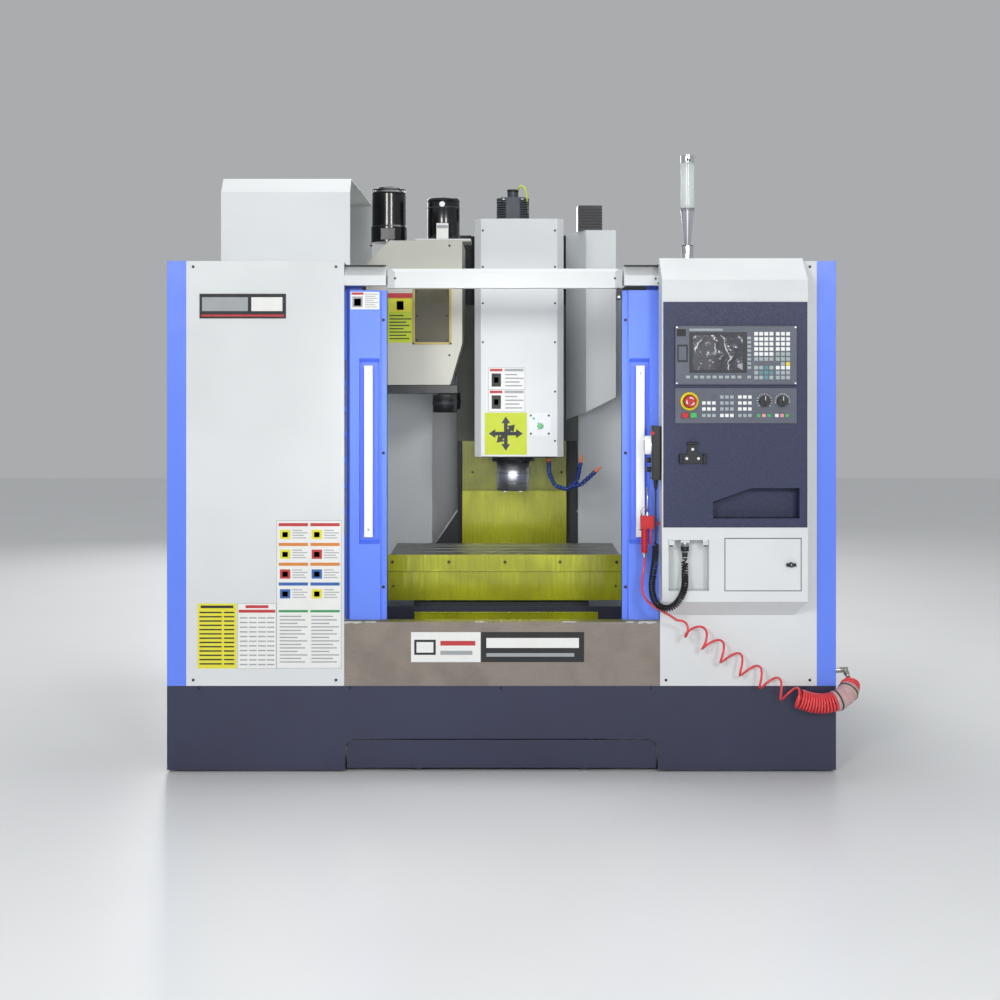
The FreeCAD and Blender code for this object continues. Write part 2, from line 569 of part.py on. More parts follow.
def make_cladding():
    """Outer sheets, corner posts, roof hood, inner liners, cabinet and the front's header and sill."""
    half, skin, post = "machine_width / 2", "sheet_skin", "post_width"
    column = prism("z", rectangle((f"{half} - {post}", "front_plane"), (half, at_depth(post))),
                   "base_top", "panel_top - base_top")
    core = slab([f"{half} - {post} + {skin}", at_depth(skin), "base_top - 1"],
                [f"{half} - {skin}", at_depth(f"{post} - {skin}"), "panel_top + 1"])
    right_post = cut(column, core)
    keep("corner_posts", gather(right_post, mirrored(right_post)))

    panels = []
    for inner, outer, flange in (
            ("opening_left", f"-({half}) + {post}", f"opening_left - {skin}"),
            ("opening_right", f"{half} - {post}", "opening_right")):
        low, high = (outer, inner) if inner == "opening_left" else (inner, outer)
        face = slab([low, "front_plane", "base_top"], [high, at_depth(skin), "panel_top"])
        edge = block([flange, "front_plane", "base_top + sill_height + 2"],
                     [skin, "return_depth", "panel_top - base_top - sill_height - 2"])
        top = slab([low, "front_plane", f"panel_top - {skin}"], [high, at_depth("return_depth"), "panel_top"])
        panels.append(fuse(face, edge, top))
    keep("front_panels", gather(*panels))

    side = slab([f"{half} - {skin}", at_depth(post), "base_top"], [half, at_depth("side_depth"), "panel_top"])
    roof = slab(["roof_inner", at_depth(post), f"panel_top - {skin}"],
                [half, at_depth("side_depth"), "panel_top"])
    lip = slab(["roof_inner", at_depth("return_depth"), f"panel_top - {skin}"],
               [f"{half} - {post}", at_depth(post), "panel_top"])
    right_side = fuse(side, roof, lip)
    keep("side_panels", gather(right_side, mirrored(right_side)))

    keep("rear_panel", slab([f"-({half}) + {skin}", at_depth(f"side_depth - {skin}"), "base_top"],
                            [f"{half} - {skin}", at_depth("side_depth"), f"panel_top - {skin}"]))

    def hood_outline(inset, foot):
        front, back = at_depth(f"hood_front + {inset}"), at_depth(f"hood_front + hood_depth - {inset}")
        return [
            (front, foot), (back, foot), (back, f"panel_top + hood_rise - {inset}"),
            (f"{front} + hood_slope", f"panel_top + hood_rise - {inset}"), (front, f"panel_top + hood_front_rise - {inset} / 2")]
    hood = prism("x", hood_outline("0", "panel_top"), "hood_left", "hood_right - hood_left")
    inside = prism("x", hood_outline(skin, "panel_top - 1"), f"hood_left + {skin}", "hood_right - hood_left")
    keep("roof_hood", cut(hood, inside))

    wall_x = f"{half} - liner_inset"
    wall = slab([wall_x, at_depth("liner_front"), "liner_bend"],
                [f"{wall_x} + {skin}", at_depth("liner_rear"), "liner_top"])
    chute_points = [
        (wall_x, "liner_bend"), ("liner_floor_x", "liner_floor"), ("liner_floor_x", f"liner_floor - {skin}"),
        (f"{wall_x} + {skin}", f"liner_bend - {skin}"), (f"{wall_x} + {skin}", "liner_bend")]
    chute = prism("y", chute_points, at_depth("liner_front"), "liner_rear - liner_front")
    stays = [
        slab([f"{wall_x} + {skin}", at_depth(depth), "stay_level"],
             [f"{half} - {skin}", at_depth(f"{depth} + stay_depth"), "stay_level + stay_height"])
        for depth in ("liner_front + stay_height", "liner_rear - stay_height - stay_depth")]
    plates = [wall, chute, *stays]

    def back_plate(low_x, high_x, low_z, high_z):
        return slab([low_x, at_depth("liner_rear"), low_z], [high_x, at_depth(f"liner_rear + {skin}"), high_z])
    outer_x, gap_x, notch_x = f"{wall_x} + {skin}", "column_left - column_gap", "magazine_left - notch_gap"
    arm_low, arm_high = "drum_level - arm_notch", "drum_level + arm_notch"
    backs = [
        back_plate("column_right + notch_gap", outer_x, "liner_floor", "liner_top"),
        back_plate(f"-({outer_x})", gap_x, "liner_floor", arm_low),
        back_plate(f"-({outer_x})", notch_x, arm_low, arm_high),
        back_plate(f"-({outer_x})", gap_x, arm_high, "liner_top")]
    keep("inner_liners", gather(*plates, *[mirrored(plate) for plate in plates], *backs))

    cabinet = slab(["-cabinet_half", at_depth("side_depth"), "cabinet_low"],
                   ["cabinet_half", at_depth("machine_depth"), "cabinet_top"])
    hollow = slab([f"-cabinet_half + {skin}", at_depth(f"side_depth + {skin}"), f"cabinet_low + {skin}"],
                  [f"cabinet_half - {skin}", at_depth("machine_depth + 1"), f"cabinet_top - {skin}"])
    lid = slab([f"-cabinet_half + {skin}", at_depth("machine_depth - lid_inset"), f"cabinet_low + {skin}"],
               [f"cabinet_half - {skin}", at_depth(f"machine_depth - lid_inset + {skin}"),
                f"cabinet_top - {skin}"])
    keep("electrical_cabinet", fuse(cut(cabinet, hollow), lid))

    sill_top = "base_top + sill_height"
    sill = slab(["opening_left", "front_plane", "base_top"], ["opening_right", at_depth("sill_depth"), sill_top])
    sill_core = slab(["opening_left - 1", at_depth(skin), "base_top - 1"],
                     ["opening_right + 1", at_depth(f"sill_depth - {skin}"), f"{sill_top} - {skin}"])
    deck = slab(["opening_left", at_depth("sill_depth"), "base_top + 30"],
                ["opening_right", at_depth("bed_front"), "base_top + 33"])
    keep("front_sill", cut(fuse(sill, deck), sill_core))

    front, back = "front_plane", at_depth("header_depth")
    top = "header_bottom + header_height"
    points = [(front, "header_bottom"), (back, "header_bottom"), (back, top), (f"{front} + 12", top),
              (front, f"{top} - 12")]
    beam = prism("x", points, "header_left", "header_right - header_left")
    bevels = [
        prism("z", [("header_left - 1", "front_plane - 1"), ("header_left + header_slope", "front_plane - 1"),
                    ("header_left - 1", "front_plane + header_slope")], "header_bottom - 1", "header_height + 2"),
        prism("z", [("header_right + 1", "front_plane - 1"), ("header_right + 1", "front_plane + header_slope"),
                    ("header_right - header_slope", "front_plane - 1")], "header_bottom - 1", "header_height + 2")]
    caps = []
    for low, high in (("opening_left", "header_left - cap_gap"), ("header_right + cap_gap", "opening_right")):
        points = [(front, "cap_bottom"), (back, "cap_bottom"), (back, "cap_top"),
                  (f"{front} + cap_slope", "cap_top"), (front, "cap_top - cap_slope")]
        caps.append(prism("x", points, low, f"({high}) - ({low})"))
    keep("header_beam", gather(cut(beam, *bevels), *caps))
    half_in = f"({half}) - {post}"
    bar = slab([f"-({half_in})", at_depth("track_front"), "track_bottom"],
               [half_in, at_depth("track_front + track_thick"), "track_bottom + track_height"])
    stubs = [
        slab([low, at_depth("header_depth"), "track_bottom"], [high, at_depth("track_front"), "track_bottom + track_height"])
        for low, high in (("opening_left + 10", "header_left - cap_gap - 10"), ("header_left + 40", "header_right - 40"),
                          ("header_right + cap_gap + 10", "opening_right - 10"))]
    keep("door_track", fuse(bar, *stubs))


def make_door(name, sign):
    """One sliding door: folded stile, slotted pane and two hooks over the track, plus its handle.

    Distances run outwards from the leading edge, and sign is -1 on the left and 1 on the right."""
    edge = f"door_meet + ({sign}) * (door_gap / 2 + door_rest)"

    def out(distance):
        return f"{edge} + ({sign}) * ({distance})"
    face, pane, skin = at_depth("door_front"), at_depth("door_pane"), "door_skin"
    stile_start, stile_end = "door_flange", "door_flange + door_stile"
    slope_end = "door_flange + door_stile + door_slope"
    points = [
        (out("0"), at_depth("door_flange_back")), (out(stile_start), at_depth("door_flange_back")),
        (out(stile_start), face), (out(stile_end), face), (out(slope_end), f"{pane} - {skin}"),
        (out("door_width"), f"{pane} - {skin}"), (out("door_width"), pane),
        (out(f"{slope_end} - {skin}"), pane), (out(f"{stile_end} - {skin}"), f"{face} + {skin}"),
        (out(f"{stile_start} + {skin}"), f"{face} + {skin}"),
        (out(f"{stile_start} + {skin}"), f"{at_depth('door_flange_back')} + {skin}"),
        (out(skin), f"{at_depth('door_flange_back')} + {skin}"), (out(skin), pane), (out("0"), pane)]
    sheet_metal = prism("z", points, "door_bottom", "door_top - door_bottom")
    hooks, slots = [], []
    rear = at_depth("track_front + track_thick + hanger_gap")
    for distance in ("hanger_inset", "door_width - hanger_inset - hanger_width"):
        low, high = sorted((out(distance), out(f"{distance} + hanger_width")), key=number)
        hooks.append(slab([low, f"{pane} - {skin}", "door_top - 60"], [high, f"{rear} + hanger_thick", "door_top - 54"]))
        hooks.append(slab([low, rear, "door_top - 60"],
                          [high, f"{rear} + hanger_thick", "track_bottom + track_height + 12"]))
        hooks.append(slab([low, at_depth("track_front"), f"track_bottom + track_height + running_gap"],
                          [high, f"{rear} + hanger_thick", "track_bottom + track_height + 12"]))
    low, high = sorted((out(f"{slope_end} + slot_edge"), out(f"{slope_end} + slot_edge + slot_width")), key=number)
    for index in range(int(number("slot_number"))):
        level = f"slot_level + slot_step * {index}"
        slots.append(slab([low, face, level], [high, f"{pane} + 1", f"{level} + slot_height"]))
    def bay(margin, front, back):
        """The recess behind the handle with sloped ends, grown by a margin."""
        near, far = sorted((out(f"door_flange + {skin} + 1 - ({margin})"),
                            out(f"door_flange + bay_width + ({margin})")), key=number)
        foot, head = (f"handle_low - bay_margin - ({margin})",
                      f"handle_low + handle_length + bay_margin + ({margin})")
        sides = [(front, f"{foot} - bay_slope"), (back, foot), (back, head), (front, f"{head} + bay_slope")]
        return prism("x", sides, near, f"({far}) - ({near})")
    tray = bay(skin, face, f"{face} + bay_depth + {skin}")
    keep(f"{name}_door", cut(fuse(sheet_metal, tray, *hooks), bay("0", f"{face} - 1", f"{face} + bay_depth"), *slots))

    centre = out("handle_inset")
    low = f"{centre} - handle_width / 2"
    grip = prism("z", rectangle((low, f"{face} - handle_proud"),
                                (f"{low} + handle_width", f"{face} - handle_proud + handle_thick")),
                 "handle_low", "handle_length", "handle_thick / 3")
    posts = [
        rod([centre, f"{face} - handle_proud + handle_thick - 1", level], "handle_post",
            "bay_depth + handle_proud - handle_thick + 1", "y")
        for level in ("handle_low + post_inset", "handle_low + handle_length - post_inset")]
    keep(f"{name}_door_handle", fuse(grip, *posts))


def make_console():
    """Console box with operator panel, display and key units, keyboard pocket, store and its door."""
    skin = "console_skin"
    face = at_depth("-console_depth")
    crest = at_depth("-console_crest_depth")
    points = [(face, "console_bottom"), ("front_plane", "console_bottom"), ("front_plane", "console_crest"),
              (crest, "console_crest"), (face, "console_chamfer")]
    shell = prism("x", points, "console_left", "console_right - console_left")
    keel = doc.addObject("Part::Wedge", "Keel")
    bind(keel, Xmin="0", Xmax="console_keel_right - console_keel_left", Zmin="0", Zmax="2",
         X2min="console_left - console_keel_left", X2max="console_right - console_keel_left",
         Z2min="0", Z2max="console_depth", Ymin="0", Ymax="console_bottom - console_keel")
    place(keel, ["console_keel_left", "front_plane", "console_keel"], Rotation(Vector(1, 0, 0), 90))
    inner = [(f"{face} + {skin}", f"console_bottom + {skin}"), (f"front_plane - {skin}", f"console_bottom + {skin}"),
             (f"front_plane - {skin}", f"panel_high"), (f"{face} + {skin}", "panel_high")]
    core = prism("x", inner, f"console_left + {skin}", f"console_right - console_left - {skin} * 2")
    recess_box = slab(["recess_left", face, "recess_low"],
                      [f"recess_left + recess_width", f"{face} + recess_depth", "recess_low + recess_height"])
    recess_lining = slab(
        [f"recess_left - {skin}", face, f"recess_low - {skin}"],
        [f"recess_left + recess_width + {skin}", f"{face} + recess_depth + {skin}", f"recess_low + recess_height + {skin}"])
    store_box = slab(["store_left", f"{face} - 1", "store_low"],
                     ["store_left + store_width", f"{face} + store_depth", "store_low + store_height"])
    store_lining = slab(
        [f"store_left - {skin}", face, f"store_low - {skin}"],
        [f"store_left + store_width + {skin}", f"{face} + store_depth + {skin}", f"store_low + store_height + {skin}"])
    hollow = cut(core, recess_lining, store_lining)
    panel_front = f"{face} - panel_thick"

    def pocket(margin, start, depth):
        """The pocket in the operator panel, its outline grown by a margin."""
        left, right = f"pocket_left - ({margin})", f"pocket_right + ({margin})"
        low, high = f"pocket_low - ({margin})", f"pocket_high + ({margin})"
        sides = [(left, low), (right, low), (right, high), ("pocket_shoulder", high),
                 (left, f"pocket_heel + ({margin})")]
        return prism("y", sides, start, depth)
    pocket_hole = pocket("pocket_skin + pocket_gap", f"{face} - 1",
                         "pocket_depth + pocket_skin - panel_thick + pocket_gap + 1")
    plug = rod(["plug_x", at_depth("plug_depth"), "plug_low"], "plug_radius",
               "recess_low + recess_height - plug_low")
    keep("console_box", fuse(cut(fuse(shell, keel), hollow, recess_box, store_box, pocket_hole),
                             plug))

    plate = slab([f"console_left + panel_inset", panel_front, "panel_low"],
                 [f"console_right - panel_inset", face, "panel_high"])
    tray = pocket("pocket_skin", panel_front, "pocket_depth + pocket_skin")
    keep("operator_panel", cut(fuse(plate, tray), pocket("0", f"{panel_front} - 1", "pocket_depth + 1")))

    screen_frame = slab(["display_left", f"{panel_front} - display_proud", "display_low"],
                        ["display_left + display_width", panel_front, "display_low + display_height"])
    keep("display_unit", screen_frame)

    unit = slab(["display_left", f"{panel_front} - control_proud", "control_low"],
                ["display_left + display_width", panel_front, "control_low + control_height"])
    unit_front = f"{panel_front} - control_proud"
    ring = rod(["stop_x", f"{unit_front} - 6", "stop_level"], "stop_ring", "6.5", "y")
    stop_bore = rod(["stop_x", f"{unit_front} - 7", "stop_level"], "stop_stem + running_gap",
                    "control_proud + 8", "y")
    dial_bores = [rod([x, f"{unit_front} - 1", "dial_level"], "dial_stem + shaft_gap", "control_proud + 2", "y")
                  for x in ("dial_left_x", "dial_right_x")]
    key_bores = [rod([x, f"{unit_front} - 1", "key_level"], "key_radius + running_gap", "control_proud + 2", "y")
                 for x in ("red_key_x", "green_key_x")]
    keep("control_unit", cut(fuse(unit, ring), stop_bore, *dial_bores, *key_bores))

    stem = rod(["stop_x", f"{unit_front} - stop_rise + 8", "stop_level"], "stop_stem", "stop_rise - 8", "y")
    head = rod(["stop_x", f"{unit_front} - stop_rise", "stop_level"], "stop_head", "stop_rise / 2", "y")
    keep("stop_button", fuse(stem, head))
    for name, x in (("red_key", "red_key_x"), ("green_key", "green_key_x")):
        keep(name, rod([x, f"{unit_front} - key_rise", "key_level"], "key_radius", "key_length", "y"))
    for name, x in (("feed_dial", "dial_left_x"), ("speed_dial", "dial_right_x")):
        stem = rod([x, f"{unit_front} - 6", "dial_level"], "dial_stem", "6 + control_proud - 1", "y")
        knob = rod([x, f"{unit_front} - 20", "dial_level"], "dial_radius", "19", "y")
        pointer = block([f"{x} - 2", f"{unit_front} - 24", "dial_level - dial_radius"], ["4", "6", "dial_radius * 2"])
        keep(name, fuse(stem, knob, pointer))

    door = slab(["store_left + store_gap", f"{face} - 0.5", "store_low + store_gap"],
                ["store_left + store_width - store_gap", f"{face} + store_skin", "store_low + store_height - store_gap"])
    lock_x, lock_level = "store_left + store_width - lock_inset", "store_low + store_height / 2"
    lock_bore = rod([lock_x, f"{face} - 2", lock_level], "lock_radius + shaft_gap", "10", "y")
    keep("store_door", cut(door, lock_bore))
    barrel = rod([lock_x, f"{face} - 6", lock_level], "lock_radius", "18", "y")
    handle = block([f"{lock_x} - lock_handle / 2", f"{face} - 14", f"{lock_level} - 5"],
                   ["lock_handle", "10", "10"])
    tongue = block([f"{lock_x} - 4", f"{face} + store_skin + 4", f"{lock_level} - 6"], ["24", "3", "12"])
    keep("store_lock", fuse(barrel, handle, tongue))


def make_tower():
    spot = ["tower_x", at_depth("tower_depth")]
    foot, shoulder = "tower_foot_rise", "tower_cone_rise"
    low = [("0", "0"), ("tower_foot_radius", "0"), ("tower_foot_radius", foot), ("tower_neck_radius", foot),
           ("tower_radius", shoulder), ("0", shoulder)]
    cap = rod([*spot, "panel_top + tower_lens_rise"], "tower_radius", "tower_cap_rise - tower_lens_rise")
    keep("tower_metal", gather(turned([*spot, "panel_top"], low), cap))
    keep("tower_lens", rod([*spot, "panel_top + tower_cone_rise"], "tower_radius - 1",
                           "tower_lens_rise - tower_cone_rise"))


def make_hand_tools():
    """Hand pendant with its wheel and selectors, and the air gun, both hung on the console's left side."""
    left = "pendant_back - pendant_thick"
    middle = at_depth("pendant_front + pendant_width / 2")
    body = prism("z", rectangle((left, at_depth("pendant_front")),
                                ("pendant_back", at_depth("pendant_front + pendant_width"))),
                 "pendant_low", "pendant_height", "pendant_thick / 5")
    hook = slab(["pendant_back - 2", f"{middle} - 20", "pendant_low + 60"], ["console_left", f"{middle} + 20", "pendant_low + 120"])
    wheel_bore = rod([f"{left} - 1", middle, "wheel_level"], "5 + shaft_gap", "17", "x")
    levels = ["selector_high", "selector_high - selector_step"]
    bores = [rod([f"{left} - 1", middle, level], "3 + shaft_gap", "13", "x") for level in levels]
    keep("pendant_body", cut(fuse(body, hook), wheel_bore, *bores))
    wheel = rod([f"{left} - wheel_thick - 1", middle, "wheel_level"], "wheel_radius", "wheel_thick", "x")
    shaft = rod([f"{left} - 4", middle, "wheel_level"], "5", "18", "x")
    knob = rod([f"{left} - wheel_thick - 8", middle, "wheel_level + wheel_radius - 9"], "5", "10", "x")
    keep("pendant_wheel", fuse(wheel, shaft, knob))
    for name, level in (("axis_selector", levels[0]), ("rate_selector", levels[1])):
        dial = rod([f"{left} - selector_length - 1", middle, level], "selector_radius", "selector_length", "x")
        pin = rod([f"{left} - 4", middle, level], "3", "14", "x")
        keep(name, fuse(dial, pin))

    spot = ["gun_x", at_depth("gun_depth")]
    grip = rod([*spot, "gun_low"], "gun_radius", "gun_high - gun_low")
    top = block(["gun_x - 14", at_depth("gun_depth - 14"), "gun_high - 44"], ["46", "28", "44"])
    nozzle = rod(["gun_x + 10", at_depth("gun_depth"), "gun_high - 1"], "nozzle_radius", "nozzle_length")
    bracket = slab(["gun_x + 32", at_depth("gun_depth - 8"), "gun_high - 30"],
                   ["console_left", at_depth("gun_depth + 8"), "gun_high - 24"])
    slot = slab(["gun_x + 13", at_depth("gun_depth - 4.3"), "gun_high - 45"],
                ["gun_x + 27", at_depth("gun_depth + 4.3"), "gun_high - 20"])
    keep("air_gun", cut(fuse(grip, top, nozzle, bracket), slot))
    lever = slab(["gun_x + 18", at_depth("gun_depth - 4"), "gun_high - 100"],
                 ["gun_x + 24", at_depth("gun_depth + 4"), "gun_high - 22"])
    keep("gun_trigger", lever)


# Routes of the free hose and cable, hand-laid: X, depth behind the front sheet, Z.
HOSE_LEAD = [
    (487, -50, 761), (487, -50, 712), (476, -66, 664), (478, -92, 618), (510, -118, 586),
    (552.5, -121, 567), (590, -100, 540)]
HOSE_COIL = [
    (590, -100, 540), (640, -72, 504), (698, -52, 460), (762, -45, 413), (826, -45, 370),
    (890, -46, 329), (954, -48, 292), (1014, -50, 262), (1070, -50, 246), (1128, -47, 248),
    (1180, -28, 270), (1206, 14, 300), (1203, 66, 322)]
CABLE_LEAD = [
    (523, -70, 1012), (523, -70, 950), (522, -84, 806)]
CABLE_COIL = [
    (522, -84, 806), (521.6, -89.25, 752), (512, -104, 700), (504, -124, 650), (512, -142, 606),
    (540, -152, 584), (574, -152, 590), (600, -146, 618), (614, -132, 648), (619, -110, 674),
    (620, -90, 706), (620, -90, 748)]


def tangent_path(points):
    """Straight runs through the points, joined by arcs of 0.45 of the shorter run at each turn."""
    pieces, start = [], points[0]
    for before, corner, after in zip(points, points[1:], points[2:]):
        inward, outward = (before - corner), (after - corner)
        trim = 0.45 * min(inward.Length, outward.Length)
        enter = corner + inward.normalize() * trim
        leave = corner + outward.normalize() * trim
        half = (math.pi - inward.getAngle(outward)) / 2
        radius = trim / math.tan(half)
        bisector = (inward + outward).normalize()
        centre = corner + bisector * (radius / math.cos(half))
        print(f"  arc radius {radius:.0f}")
        pieces.append(Part.LineSegment(start, enter).toShape())
        pieces.append(Part.Arc(enter, centre - bisector * radius, leave).toShape())
        start = leave
    pieces.append(Part.LineSegment(start, points[-1]).toShape())
    return Part.Wire(pieces)


def air_port():
    """The elbow on the right side sheet that the hose ends in."""
    side = "machine_width / 2"
    stub = rod([side, at_depth("port_depth"), "port_level"], "port_radius", f"port_end - {side}", "x")
    flange = rod([side, at_depth("port_depth"), "port_level"], "port_flange", "port_flange_thick", "x")
    last, end = [Vector(*point) for point in HOSE_COIL[-2:]]
    entry = (end - last).normalize()
    mouth = end + entry * number("port_gap")
    spot = [str(mouth.x), at_depth(str(mouth.y)), str(mouth.z)]
    inlet = place(rod(spot, "inlet_radius", "inlet_length"), spot, Rotation(Vector(0, 0, 1), entry))
    return fuse(stub, flange, inlet)


def tube(label, route, radius, *fittings):
    points = [Vector(x, number("front_plane") + depth, z) for x, depth, z in route]
    path = tangent_path(points)
    circle = Part.Wire(Part.makeCircle(radius, points[0], points[1] - points[0]))
    item = doc.addObject("Part::Feature", "Tube")
    item.Shape = path.makePipeShell([circle], True, False)
    expected = math.pi * radius ** 2 * path.Length
    print(f"{label}: length {path.Length:.0f}, volume ratio {item.Shape.Volume / expected:.4f}")
    keep(label, gather(item, *fittings) if fittings else item)


def make_cords():
    tube("air_hose_lead", HOSE_LEAD, number("hose_size / 2"))
    tube("air_hose_coil", HOSE_COIL, number("coil_radius"), air_port())
    tube("pendant_cable_lead", CABLE_LEAD, number("cable_size / 2"))
    tube("pendant_cable_coil", CABLE_COIL, number("cable_coil"))


def check_and_export():
    doc.recompute()
    broken = [item.Label for item in doc.Objects if {"Invalid", "Error"} & set(item.State)]
    if broken:
        raise RuntimeError(f"features that failed: {broken}")
    for item in PARTS:
        if item.Shape.isNull() or not item.Shape.isValid():
            raise RuntimeError(f"{item.Label} has no valid shape")
    os.makedirs("parts", exist_ok=True)
    for item in PARTS:
        item.Shape.exportStep(f"parts/{item.Label}.step")
    print(len(PARTS), "sub-parts")


fill_sheet()
make_base()
make_column()
make_saddle_and_table()
make_head()
make_magazine()
make_side_duct()
make_cladding()
make_door("left", -1)
make_door("right", 1)
make_console()
make_tower()
make_hand_tools()
make_cords()
check_and_export()
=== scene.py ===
import math

import bmesh
import bpy
from mathutils import Matrix, Vector


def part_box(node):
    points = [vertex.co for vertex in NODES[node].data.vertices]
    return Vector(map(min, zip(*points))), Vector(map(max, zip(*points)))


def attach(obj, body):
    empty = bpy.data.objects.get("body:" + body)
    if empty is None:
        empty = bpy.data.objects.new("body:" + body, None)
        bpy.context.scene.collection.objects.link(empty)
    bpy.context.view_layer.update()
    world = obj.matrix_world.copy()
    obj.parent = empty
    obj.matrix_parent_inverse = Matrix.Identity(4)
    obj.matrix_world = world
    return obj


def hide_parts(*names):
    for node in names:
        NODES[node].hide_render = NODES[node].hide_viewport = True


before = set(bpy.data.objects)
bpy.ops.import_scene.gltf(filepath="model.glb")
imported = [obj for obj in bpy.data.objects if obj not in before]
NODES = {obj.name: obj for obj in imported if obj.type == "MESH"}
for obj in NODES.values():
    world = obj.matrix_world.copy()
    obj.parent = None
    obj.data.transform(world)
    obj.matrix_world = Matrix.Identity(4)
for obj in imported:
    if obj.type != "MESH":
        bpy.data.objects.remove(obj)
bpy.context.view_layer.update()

MM = 0.001
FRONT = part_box("front_panels")[0].y      # the plane of the front sheets; places are given as depth behind it
LENS_DISTANCE = 5.5                      # from the front sheets to the camera
EYE_HEIGHT = 1.383
FRAME_HEIGHT = 3.438                     # what the camera frames at the front sheets

# Axes and faces that several pieces share, in millimetres.
SPINDLE = (45, 860)                      # X and depth of the spindle's axis
DRIVE_MOTOR = (-440, 760)                # X and depth of the magazine motor's axis
CANISTER = (-226, 760)                   # X and depth of the oil canister's axis
COVER_FACE = 660                         # depth of the head cover's front
GUARD_FACE = 497                         # depth of the table guard's front
STOP_CENTRE = (631, 1278)                # X and height of the stop button
DIAL_CENTRES = (883, 943)                # X of the two dials
DIAL_HEIGHT = 1279


def at(x, depth, z):
    """A point from millimetres: X, depth behind the front sheets, and height above the floor."""
    return Vector((x * MM, FRONT + depth * MM, z * MM))


# ------------------------------------------------------------------ finishes

def linear(colour, gain=1.0):
    """Scene-linear RGBA of an sRGB hex colour, brightened or darkened by a gain."""
    values = [int(colour[i:i + 2], 16) / 255 for i in (1, 3, 5)]
    values = [v / 12.92 if v <= 0.04045 else ((v + 0.055) / 1.055) ** 2.4 for v in values]
    return tuple(min(1.0, v * gain) for v in values) + (1.0,)


class Finish:
    """A material being mixed: its node tree, and its surface shader with values set on its own sockets."""

    def __init__(self, name, **values):
        self.material = bpy.data.materials.new(name)
        self.material.use_nodes = True
        self.tree = self.material.node_tree
        self.tree.nodes.clear()
        self.surface = self.tree.nodes.new("ShaderNodeBsdfPrincipled")
        output = self.tree.nodes.new("ShaderNodeOutputMaterial")
        self.tree.links.new(self.surface.outputs[0], output.inputs[0])
        self.place = self.add("TexCoord", out=3)
        self.wear(**values)

    def add(self, kind, inputs=None, out=0, **settings):
        """Add a node with its settings; an input is a value or another node's output."""
        node = self.tree.nodes.new("ShaderNode" + kind)
        for name, value in settings.items():
            setattr(node, name, value)
        self.feed(node, inputs or {})
        return node.outputs[out]

    def feed(self, node, inputs):
        for name, value in inputs.items():
            if isinstance(value, bpy.types.NodeSocket):
                self.tree.links.new(value, node.inputs[name])
            else:
                node.inputs[name].default_value = value

    def wear(self, **values):
        """Give the surface shader values or other nodes' outputs; underscores stand for spaces."""
        self.feed(self.surface, {name.replace("_", " "): value for name, value in values.items()})
        return self


def sprayed_paint(name, colour, roughness=0.36, peel=1.4, edge=1.6, clouding=0.94, clear=0.0):
    """Paint sprayed on sheet steel: an even satin gloss, faint orange peel, and edges that catch the light."""
    coat = Finish(name, Coat_Weight=clear, Coat_Roughness=0.1)
    cloud = coat.add("TexNoise", {"Vector": coat.place, "Scale": 1 / (420 * MM), "Detail": 2.0})
    cloud = coat.add("MapRange", {"Value": cloud, 1: 0.38, 2: 0.62})
    tone = coat.add("Mix", {0: cloud, 6: linear(colour), 7: linear(colour, clouding)}, out=2, data_type="RGBA")
    smear = coat.add("TexNoise", {"Vector": coat.place, "Scale": 1 / (60 * MM), "Detail": 3.0})
    gloss = coat.add("MapRange", {"Value": smear, 1: 0.3, 2: 0.7, 3: roughness - 0.04, 4: roughness + 0.05})
    skin = coat.add("TexNoise", {"Vector": coat.place, "Scale": 1 / (peel * MM), "Detail": 2.0})
    bump = {"Height": skin, "Distance": 0.012 * MM * peel, "Strength": 1.0}
    if edge:
        bump["Normal"] = coat.add("Bevel", {"Radius": edge * MM}, samples=3)
    return coat.wear(Base_Color=tone, Roughness=gloss, Normal=coat.add("Bump", bump)).material


def hammer_paint(name, colour):
    """Hammer-finish enamel: close rounded dimples 4 mm across, glossier in their hollows."""
    coat = Finish(name, Specular_IOR_Level=0.4)
    dimple = coat.add("TexVoronoi", {"Vector": coat.place, "Scale": 1 / (4.5 * MM)}, feature="SMOOTH_F1")
    shade = coat.add("MapRange", {"Value": dimple, 1: 0.15, 2: 0.65})
    tone = coat.add("Mix", {0: shade, 6: linear(colour, 1.35), 7: linear(colour)}, out=2, data_type="RGBA")
    gloss = coat.add("MapRange", {"Value": dimple, 1: 0.1, 2: 0.7, 3: 0.36, 4: 0.56})
    edge = coat.add("Bevel", {"Radius": 1.4 * MM}, samples=3)
    relief = coat.add("Bump", {"Height": dimple, "Distance": 0.16 * MM, "Normal": edge})
    return coat.wear(Base_Color=tone, Roughness=gloss, Normal=relief).material


